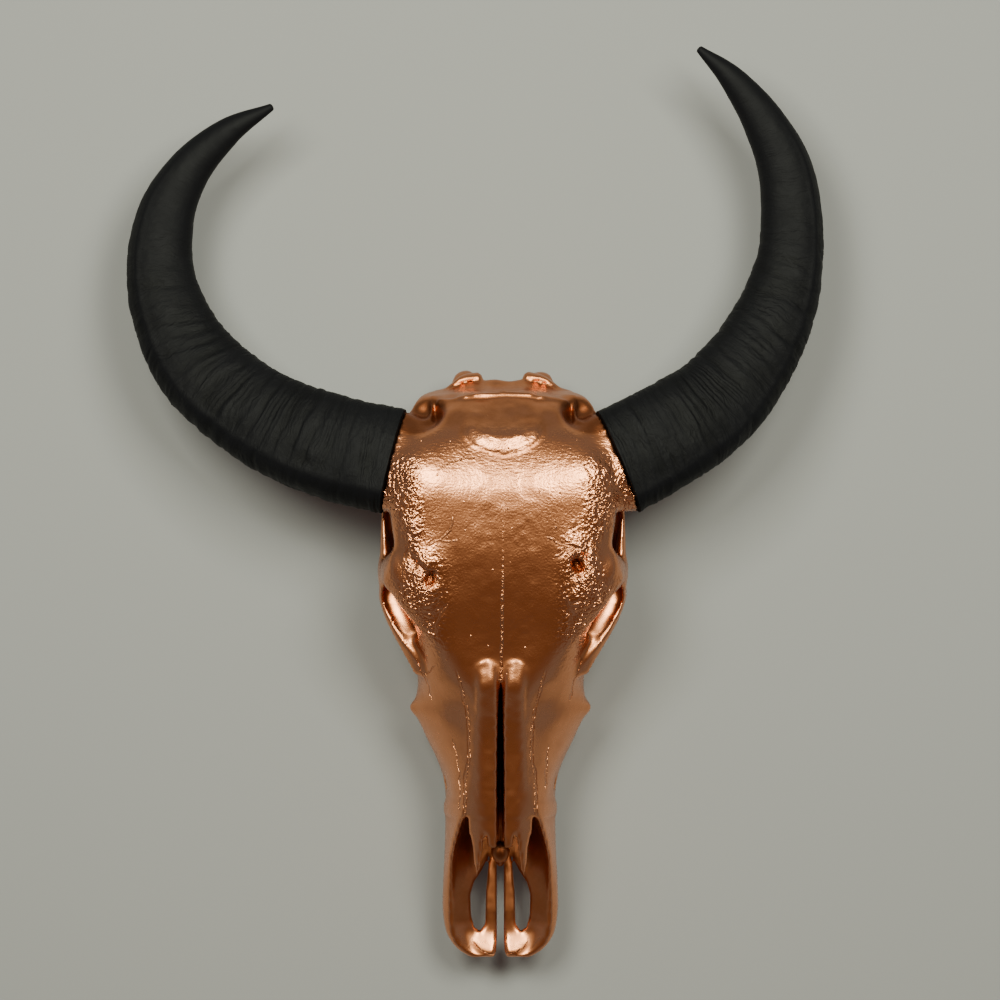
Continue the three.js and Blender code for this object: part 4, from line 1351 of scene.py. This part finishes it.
@dataclass
class Cranium:
    """The skull's bone: a distance field of sections, bars and hollows, and its surface relief.

    All places and depths are in mm. The rounds say how often a smoothing step is repeated.
    """

    horns: Sequence[Horn]
    teeth: Sequence[CheekTooth]
    cell: Point = (1.95, 1.95, 2.7)
    arch: float = 97.5
    lowest: float = 0.25
    highest: float = 166.2
    grid_low: Point = (0.0, -14.0, -4.0)
    grid_high: Point = (114.0, 492.0, 174.0)
    smoothing_rounds: int = 2
    crease_shade_rounds: int = 6
    crease_shade_depth: float = 0.9
    step_y: float = 414.5
    pocket: Ellipsoid = field(default_factory=lambda: Ellipsoid((73, 455, 132), (26, 24, 28)))
    pits: Sequence[Point] = ((-58.4, 312), (60.8, 323.5))
    grooves: Sequence[Sequence[Point]] = (
        ((-77, 333, 157), (-72, 326, 158), (-66, 321, 160), (-59.5, 314, 161)),
        ((69, 337, 159), (62, 325, 161), (57, 313, 160.5), (54, 302, 158)),
    )
    veins: Sequence[Sequence[Point]] = (
        ((-60, 340), (-55, 344), (-50, 344.4), (-44, 343.2), (-38, 345)),
        ((-51, 344), (-46.5, 349.5), (-41.6, 354.4), (-41, 361)),
        ((60, 337), (54, 339), (47, 341), (41, 345), (37, 346)),
        ((52, 339.5), (48, 334), (43, 331)),
        ((-46, 290), (-52, 282), (-55, 270)),
        ((50, 296), (55, 286), (57, 274)),
    )
    cracks: Sequence[Sequence[Point]] = (
        ((-70, 243), (-66, 234), (-62, 226), (-59, 214)),
        ((-66, 234), (-62, 236), (-57, 240)),
        ((64, 247), (62, 236), (58, 226), (56, 213)),
        ((-41, 178), (-37, 160), (-35, 140), (-35.5, 122)),
        ((38, 172), (35.5, 156), (35, 140)),
        ((-23.8, 4.5), (-21.5, 0.3), (-16, -3), (-8.5, -4.9)),
        ((19.4, 4.5), (17.1, 0.3), (11.6, -3), (4.1, -4.9)),
        ((-52, 402), (-44, 407), (-34, 410), (-25, 411)),
        ((66, 404), (73, 392), (78, 378), (80, 362)),
    )

    def added(self) -> dict[str, tuple[Solid, float]]:
        """What is joined on to one side, by name, each with how far its joint is rounded."""
        arch = self.arch
        cheek_arch = Bar(
            ((62, 243, 68), (85, 272, 76), (arch - 3, 294, 82), (arch, 316, 86), (arch, 336, 88),
             (arch + 1.2, 360, 87), (arch - 1.5, 380, 82), (87, 396, 77), (66, 414, 74)),
            ((4, 7), (5, 9.5), (4.5, 10), (4.5, 10), (4.4, 9), (2.5, 7), (3.4, 8), (5, 9), (8, 12)),
        )
        pocket_crest = Bar(((61, 436, 122), (58.5, 448, 112), (58, 460, 100)), ((0.8, 5), (1, 6), (1, 6)))
        lower_arch = Bar(
            ((90, 305, 80), (92, 330, 76), (92.5, 355, 75), (90, 380, 75)), ((4, 6), (6, 6), (6.5, 6), (5, 7))
        )
        socket_floor = Bar(
            ((65, 238, 104), (75.5, 262, 105), (84, 282, 102), (91, 301, 97)),
            ((8, 4), (10, 4.5), (11.5, 5), (10, 5)),
        )
        socket_rim = Bar(
            ((63, 236, 103), (75.5, 253, 105), (86.5, 268, 103), (97.2, 288, 99), (99.4, 300, 99),
             (98.3, 316, 104)),
            ((2.2, 6), (1.8, 7), (1.5, 8), (1.5, 9), (1.6, 10), (2.5, 10)),
        )
        bar_behind_socket = Bar(
            ((86, 323, 143), (93, 320, 128), (arch - 1, 318, 108), (arch, 318, 88)),
            ((7, 13), (5.5, 12), (4.5, 10), (4.5, 10)),
        )
        neck_knuckle = Bar(
            ((28, 444, 58), (30, 462, 53), (31, 474, 52), (30, 478, 53)),
            ((11, 14), (14, 17), (11, 14), (5, 8)),
        )
        neck_wing = Bar(
            ((49, 466.5, 82), (43, 472, 77), (34, 476.8, 73), (21.5, 478.8, 72)),
            ((1.6, 4), (2.6, 6), (3.8, 8), (4.6, 9)),
        )
        back_ridge = Bar(
            ((0, 464.5, 121.5), (18, 463.5, 121.5), (36, 460.5, 119.5), (52, 457.5, 113.5)), ((1.5, 2.6),) * 4
        )
        resting_spur = Bar(
            ((52, 450, 78), (53, 454, 50), (50, 455, 24), (46, 453, 5), (45.5, 452, 2.4)),
            ((8, 11), (6.5, 9), (5, 6.5), (3.6, 4.2), (2.2, 2.4)),
        )
        palate_wing = Bar(
            ((19, 262, 40), (20, 290, 38), (18, 318, 40), (14, 346, 52)), ((3, 8), (2.6, 9), (2.6, 9), (3, 8))
        )
        nose_divider = Bar(
            ((0, 72, 50), (0, 96, 56), (0, 150, 58), (0, 246, 62)), ((3, 4), (3, 9), (2.5, 12), (3, 14))
        )
        return {
            "cheek arch": (cheek_arch, 6),
            "crest in the pocket": (pocket_crest, 2),
            "arch's lower edge": (lower_arch, 5),
            "eye socket's floor": (socket_floor, 8),
            "eye socket's front rim": (socket_rim, 6),
            "bar behind the eye socket": (bar_behind_socket, 7),
            "neck knuckle": (neck_knuckle, 6),
            "wing beside the neck": (neck_wing, 3),
            "ridge across the back": (back_ridge, 3),
            "spur that it rests on": (resting_spur, 7),
            "ear bulb": (Ellipsoid((34, 410, 47), (10, 15, 13)), 5),
            "knob between the snout bones": (Ellipsoid((0, 84, 74), (8, 9.5, 8)), 5),
            "wing behind the palate": (palate_wing, 4),
            "brow": (Ellipsoid((65, 318, 148), (18, 31, 9), (4, 15, 12)), 10),
            "nose divider": (nose_divider, 3),
        }

    def hollows(self) -> dict[str, tuple[Solid, float]]:
        """What is cut from one side of the body before the rest is joined on, by name."""
        cord_hole = Bar(((0, 496, 58), (0, 470, 61), (0, 425, 74)), ((17, 15), (17, 15), (15, 15)), 1)
        return {
            "airway": (Loft(AIRWAY), 3),
            "eye socket": (Ellipsoid((90, 287, 112), (33, 31, 27), (0, 0, -22)), 4),
            "room behind the arch": (Ellipsoid((95, 378, 94), (39, 60, 28)), 8),
            "pocket beside the horn": (self.pocket, 8),
            "room under the arch": (Ellipsoid((84, 340, 56), (34, 62, 25)), 8),
            "back of the nose": (Ellipsoid((0, 306, 44), (17, 46, 26)), 5),
            "brain case": (Ellipsoid((0, 415, 92), (34, 50, 34)), 4),
            "spinal cord's hole": (cord_hole, 4),
            "nerve hole in the cheek": (Ellipsoid((46, 141, 62), (8, 5, 4.5), (0, 0, 30)), 3),
        }

    def bone_field(self) -> Volume:
        """Fills the field for one side, mirrors it, and adds what differs from side to side."""
        half = Volume(np.array(self.grid_low), np.array(self.grid_high), np.array(self.cell))
        half.blend(Loft(BODY), 0.5)
        for solid, joint in self.hollows().values():
            half.blend(solid, joint, cut=True)
        snout = Volume(half.low, half.high, half.cell)
        snout.blend(Loft(TROUGH), 0.5)
        snout.blend(Prism(FISSURE, 26, 62), 2.5, cut=True)
        snout.blend(Prism(SNOUT_GAP, 26, 62), 1.5, cut=True)
        roof = Volume(half.low, half.high, half.cell)
        roof.blend(Loft(ROOF), 0.5)
        roof.blend(Prism(NASAL_OUTLINE, 60, 160), 1.5, common=True)
        for other, joint in ((snout, 6.0), (roof, 2.0)):
            half.values = joined(half.values, other.values, joint)
        for solid, joint in self.added().values():
            half.blend(solid, joint)
        half.blend(Prism(NASAL_GAP, 92, 170), 1.5, cut=True)
        for tooth in self.teeth:
            half.blend(tooth.socket(), 0.8, cut=True)
        whole = half.mirrored()
        for horn in self.horns:
            stump = HornRoot(horn, -44, -0.3, ((-44, 0.62), (-22, 0.84), (0, 0.955)))
            room = HornRoot(horn, -0.3, 46, ((0, 1.03), (46, 0.98)))
            whole.blend(stump, 9)
            whole.blend(room, 0.8, cut=True)
        for x, y in self.pits:
            pit = Ellipsoid((x, y, 160), (4, 6.5, 8), (20, 14, math.copysign(28, x)))
            whole.blend(pit, 5, cut=True)
        for groove in self.grooves:
            halves = ((1.2, 2.5), *((1.7, 3.2),) * (len(groove) - 2), (1.2, 2.5))
            whole.blend(Bar(groove, halves), 3, cut=True)
        return whole

    def crumble(self, p: np.ndarray, normal: np.ndarray) -> np.ndarray:
        """Where the bone is wrinkled and crumbly, from 0 to 1: round the pits and up to the horns.

        Each place adds a bell curve or a band with soft ends. The smooth brow is left bare.
        """
        wide, y, z = np.abs(p[:, 0]), p[:, 1], p[:, 2]
        top = smooth_step(0.0, 0.4, normal[:, 2]) * smooth_step(112, 124, z)
        near = np.zeros(len(p))
        for pit_x, pit_y in self.pits:
            near = np.maximum(near, bump_of(np.hypot((p[:, 0] - pit_x * 1.1) / 19, (y - pit_y) / 30)))
        toward_horn = smooth_step(60, 76, wide) * smooth_step(325, 350, y) * smooth_step(425, 395, y)
        rim = bump_of((y - (272 + 0.95 * (wide - 62))) / 17) * smooth_step(52, 72, wide)
        low = bump_of(np.hypot((wide - 57) / 12, (y - 272) / 26))
        mottle = 0.8 + 0.5 * lattice_noise(p, 15, 3)
        share = (near + toward_horn + rim + 0.9 * low) * (1 - self.bare(p))
        veins = self.near_lines(p, self.veins)[1]
        return np.clip(share * top * mottle, 0, 1) * (1 - 0.8 * veins)

    def bare(self, p: np.ndarray) -> np.ndarray:
        """Where the bone behind each eye socket is smooth, as a bell curve from 0 to 1."""
        return bump_of(np.hypot((np.abs(p[:, 0]) - 86) / 7, (p[:, 1] - 338) / 23))

    def shaded(self, p: np.ndarray) -> np.ndarray:
        """Painted shade, from 0 to 1: in the nose, pits and pockets, less at the neck.

        The nose and the snout's trough are boxes with soft sides. A pocket's wall is where the level
        of its ellipsoid, the length of offset / radius, is close to 1.
        """
        wide, y, z = np.abs(p[:, 0]), p[:, 1], p[:, 2]
        nose = smooth_step(100, 84, z) * smooth_step(33, 22, wide)
        nose = nose * smooth_step(92, 122, y) * smooth_step(270, 250, y)
        knob = 0.85 * bump_of(np.hypot(wide / 12, (y - 84) / 14)) * smooth_step(54, 60, z)
        trough = smooth_step(44, 38, wide) * smooth_step(15, 24, y)
        trough = trough * smooth_step(128, 118, y) * smooth_step(78, 68, z)
        pocket = zip((wide, y, z), self.pocket.middle, self.pocket.radii)
        pockets = smooth_step(1.25, 1.0, np.sqrt(sum(((a - b) / r) ** 2 for a, b, r in pocket)))
        neck = smooth_step(430, 442, y)
        slit = smooth_step(91, 87, z) * bump_of((wide - 90) / 6) * bump_of((y - 345) / 25)
        # Each of these is painted shade: the nose, the knob, the snout's trough, the pockets, the neck, the
        # slit under the arch, and the pits below
        marks = [nose, knob, 0.62 * trough, 0.75 * pockets, 0.38 * neck, slit]
        ragged = 0.3 * lattice_noise(p, 3.5, 15)
        for pit_x, pit_y in self.pits:
            away = np.hypot((p[:, 0] - pit_x) / 5.2, (y - pit_y) / 7)
            marks.append(0.8 * smooth_step(1.25, 0.8, ragged + away))
        return np.maximum.reduce(marks)

    def near_lines(self, p: np.ndarray, lines: Sequence[Sequence[Point]]) -> tuple[np.ndarray, np.ndarray]:
        """How far each point is to the left or right of the nearest line, and whether it is close.

        The side is the sign of the cross product with the line's nearest piece, so that the value
        crosses 0 on the line and a thin line can be drawn between points that stand further apart.

        Args:
            p: points in mm.
            lines: open lines, as x and y seen from above.

        Returns:
            The signed distance in mm, and 1 near the line fading to 0 at 2.6 mm.
        """
        best, signed = np.full(len(p), 99.0), np.full(len(p), 99.0)
        for line in lines:
            curve = catmull(np.array(line, float), np.linspace(0, 1, 3 * len(line)))
            away, side = line_distance(p[:, :2], curve)
            closer = away < best
            best, signed = np.where(closer, away, best), np.where(closer, away * side, signed)
        return np.clip(signed, -4, 4), smooth_step(2.6, 1.4, best) * smooth_step(0.0, 0.3, p[:, 2] - 25)

    def grain(self, p: np.ndarray, normal: np.ndarray, crumble: np.ndarray) -> np.ndarray:
        """Where the coat is orange-peeled, from 0.1 to 1: the forehead, and less on the nose."""
        y = p[:, 1]
        forehead = smooth_step(238, 262, y) * smooth_step(446, 432, y) * smooth_step(0.3, 0.7, normal[:, 2])
        forehead *= smooth_step(114, 124, p[:, 2])
        nose = 0.3 * smooth_step(150, 240, y) * smooth_step(30, 20, np.abs(p[:, 0]))
        share = np.maximum(forehead * (1 - self.bare(p)), nose) * (0.8 + 0.4 * lattice_noise(p, 24, 4))
        return np.clip(0.1 + share + 0.3 * crumble, 0, 1)

    def relief(self, p: np.ndarray, normal: np.ndarray, crumble: np.ndarray) -> np.ndarray:
        """How far the surface stands off the field's skin, in mm.

        The crumbled bone is noise n and folded noise, a - b|n|. The step behind the forehead rises
        at the curve y = step_y + x^2 / 72. Each nasal bone starts as a dome whose crown is a parabola
        and whose height falls off as 1 - |u|^3 across it, and the snout plates rise to their tips.

        Args:
            p: the skin's points.
            normal: their normals.
            crumble: the mark of the same name.

        Returns:
            One height per point.
        """
        x, y = p[:, 0], p[:, 1]
        wide = np.abs(x)
        top = smooth_step(0.1, 0.5, normal[:, 2])
        folds = 0.9 * lattice_noise(p, 13, 11) + 0.5 * (0.4 - np.abs(lattice_noise(p, 6.0, 12)) * 1.6)
        out = 0.9 * folds * crumble
        out += 0.35 * lattice_noise(p, 30, 5) * top + 0.12 * lattice_noise(p, 9, 6) * top
        edge = self.step_y + x**2 / 72 + 0.9 * lattice_noise(p, 6, 8)
        bend = lattice_noise(p, 7, 9)
        lens = smooth_step(36, 26, wide) * top
        lift = 1.7 * smooth_step(-2.4, 2.0, y - edge) + 0.33 * np.clip(y - edge, 0, 11)
        out += lens * lift * smooth_step(457, 422, y)
        out += 1.1 * lattice_noise(p, 12, 14) * smooth_step(446, 458, y)
        out += 0.7 * bump_of(np.abs(wide - 57) / 16) * bump_of((y - 398) / 18) * top
        u = (wide - 11.8 + 0.07 * np.clip(246 - y, 0, 30)) / 11.4
        crown = 247.5 - 10 * u**2 + 0.8 * bend + 0.9 * lattice_noise(p, 4, 19)
        dome = 0.9 * smooth_step(crown + 0.6, crown - 1.8, y) + 3.4 * smooth_step(crown, crown - 22, y)
        dome = dome + 0.35 * lattice_noise(p, 8, 16) * smooth_step(crown + 1, crown - 6, y)
        dome = dome * smooth_step(1.6, 4.2, wide) * np.clip(1 - np.abs(u) ** 3, 0, 1)
        out += dome * smooth_step(186, 228, y) * top
        rim = y + 8.5 - 0.03 * np.clip(wide - 6, 0, 40) ** 2
        plate = smooth_step(3, 7, wide) * smooth_step(31, 25, wide) * smooth_step(0, 6, rim)
        tilt = 0.063 * np.clip(15 - y, 0, 18) + 0.2 * lattice_noise(p, 4.5, 21)
        out += plate * tilt * smooth_step(0.2, 0.7, normal[:, 2])
        return out

    def build(self, material: bpy.types.Material) -> bpy.types.Object:
        """Makes the bone's surface, smooths it, lays the relief on it and marks painted shade in its hollows.

        Args:
            material: the bone's finish.

        Returns:
            The bone.
        """
        points, quads = self.bone_field().surface()
        points = relaxed(points, quads, self.smoothing_rounds)
        normal = point_normals(points, quads)
        crumble = self.crumble(points, normal)
        points = points + normal * self.relief(points, normal, crumble)[:, None]
        # Painted shade in creases: how far a point sits below its neighbours' mean after a few rounds darkens
        # it, up to half; the painted shade of the nose, pits, pockets, neck and slit is laid over that
        mean = points
        for _ in range(self.crease_shade_rounds):
            mean = neighbour_mean(mean, quads)
        lift = ((mean - points) * normal).sum(axis=1)
        painted_shade = np.clip(lift / self.crease_shade_depth, 0, 0.5)
        painted_shade = np.maximum(painted_shade, self.shaded(points))
        grain = self.grain(points, normal, crumble)
        points[:, 0] += lean(points[:, 1])
        points[:, 2] = np.clip(points[:, 2], self.lowest, self.highest)
        marks = {"crumble": crumble, "painted_shade": painted_shade, "grain": grain}
        for label, lines in (("vein", self.veins), ("crack", self.cracks)):
            marks[label], marks[label + "_reach"] = self.near_lines(points, lines)
        piece = make_piece("skull_bone", points, quads, material, marks)
        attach(piece, "root")
        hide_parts("cranium")
        LOG.info("bone: %d quads", len(quads))
        return piece


@dataclass(frozen=True)
class Lamp:
    """A square area light, with its place and side in metres and its power in watts."""

    place: Point
    side: float
    power: float


@dataclass
class Studio:
    """The camera straight above, a pale floor and soft lights beyond the horns.

    The camera's aim is in the skull's own millimetres, its lens in millimetres, and the height,
    the target of the lamps and the floor's reach in metres.
    """

    height: float = 3.0
    lens: float = 126.4
    aim: Point = (-2.5, 377.0)
    target: Point = (0.02, 0.0, 0.1)
    reach: float = 6.0
    floor: str = "#989898"
    lamps: Sequence[Lamp] = (
        Lamp((-0.65, 0.72, 2.1), 0.8, 44),
        Lamp((0.70, 0.70, 2.1), 0.8, 44),
        Lamp((0.05, 0.4, 2.3), 0.9, 1.5),
    )
    glow: str = "#F7FBE8"
    ceiling: str = "#6C523A"
    walls: str = "#828A94"

    def add_camera(self) -> None:
        """A camera that looks straight down on the forehead, with the snout towards the viewer."""
        data = bpy.data.cameras.new("camera")
        data.lens = self.lens
        data.sensor_width = 36
        data.clip_end = 50
        camera = bpy.data.objects.new("camera", data)
        camera.location = ((self.aim[0] + SHIFT[0]) * METRE, (self.aim[1] + SHIFT[1]) * METRE, self.height)
        bpy.context.scene.collection.objects.link(camera)
        bpy.context.scene.camera = camera

    def add_floor(self) -> None:
        """A wide matte floor under the skull."""
        material = bpy.data.materials.new("pale_floor")
        material.use_nodes = True
        shader = material.node_tree.nodes["Principled BSDF"]
        shader.inputs["Base Color"].default_value = linear(self.floor)
        shader.inputs["Roughness"].default_value = 0.85
        mesh = bpy.data.meshes.new("floor")
        corners = [(x * self.reach, y * self.reach, 0) for x, y in ((-1, -1), (1, -1), (1, 1), (-1, 1))]
        mesh.from_pydata(corners, [], [(0, 1, 2, 3)])
        mesh.materials.append(material)
        floor = bpy.data.objects.new("floor", mesh)
        bpy.context.scene.collection.objects.link(floor)

    def add_lights(self) -> None:
        """Square area lights that face the skull, and a dim room with a warm ceiling."""
        for k, lamp in enumerate(self.lamps):
            data = bpy.data.lights.new(f"softbox_{k}", "AREA")
            data.shape = "SQUARE"
            data.size = lamp.side
            data.energy = lamp.power
            data.color = linear(self.glow)[:3]
            softbox = bpy.data.objects.new(data.name, data)
            softbox.location = lamp.place
            away = np.array(lamp.place) - np.array(self.target)
            flat = math.hypot(away[0], away[1])
            softbox.rotation_euler = (math.atan2(flat, away[2]), 0, math.atan2(away[0], -away[1]))
            bpy.context.scene.collection.objects.link(softbox)
        world = bpy.data.worlds.new("room")
        world.use_nodes = True
        tree = world.node_tree
        direction = add_node(tree, "ShaderNodeTexCoord").outputs["Generated"]
        height = add_node(tree, "ShaderNodeSeparateXYZ", {0: direction}).outputs[2]
        colour = mix_colour(tree, ramp(tree, height, 0.26, 0.8), linear(self.walls), linear(self.ceiling))
        tree.links.new(colour, tree.nodes["Background"].inputs[0])
        tree.nodes["Background"].inputs[1].default_value = 1.0
        bpy.context.scene.world = world


HORNS = (
    Horn(
        "horn_left",
        ((52, 396, 122), (93.3, 408, 118), (145.3, 435.7, 112), (184.5, 466, 98), (220, 518, 84),
         (239.6, 580.2, 76), (237, 645.3, 74), (218, 689.8, 78), (190.4, 726.7, 84), (163.2, 750.3, 90)),
        (45.5, 43.2, 40.2, 34.7, 28.1, 23.7, 17.9, 10.8, 3.2),
        (33, 33, 31, 28, 24, 20.5, 16, 10, 3.2),
        twist=2,
        seed=21,
    ),
    Horn(
        "horn_right",
        ((-48, 399, 122), (-89.3, 408, 118), (-148.5, 422.6, 112), (-204.9, 448.4, 98),
         (-254.1, 490.1, 84), (-283.4, 551.5, 74), (-282.9, 608.1, 70), (-263.4, 650, 72),
         (-230.1, 682.6, 78), (-192.8, 703.1, 84)),
        (44.6, 43.8, 40.3, 37.4, 30, 24.9, 18.6, 11.9, 3.2),
        (33, 33, 31, 28.5, 24, 20.5, 16, 10.5, 3.2),
        twist=12,
        seed=37,
    ),
)
TEETH = (
    CheekTooth("premolar_2", (39.5, 151), 15.5, 13, 16, 1, 4.5),
    CheekTooth("premolar_3", (43.8, 167.5), 16.5, 16.5, 13, 1, 2.5),
    CheekTooth("premolar_4", (47.2, 184.5), 16.5, 19, 9, 1, 1.0),
    CheekTooth("molar_1", (49.6, 205.5), 24.5, 21.5, 4, 2, 0.0),
    CheekTooth("molar_2", (50.4, 231.5), 26.5, 22.5, 0, 2, 0.0),
    CheekTooth("molar_3", (49.2, 260), 29, 21, -5, 3, 1.5),
)


def main() -> None:
    """Builds the studio, the bone, the horns and the teeth over the CAD frame."""
    logging.basicConfig(level=logging.INFO, format="%(message)s")
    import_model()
    studio = Studio()
    studio.add_camera()
    studio.add_floor()
    studio.add_lights()
    copper = CopperCoat().material()
    black = BlackHorn().material()
    Cranium(HORNS, TEETH).build(copper)
    for horn in HORNS:
        piece = horn.build(black)
        LOG.info("%s: %d faces", piece.name, len(piece.data.polygons))
    for tooth in TEETH:
        for side in Side:
            piece = tooth.build(side, copper)
            LOG.info("%s: %d faces", piece.name, len(piece.data.polygons))


if __name__ == "__main__":
    main()
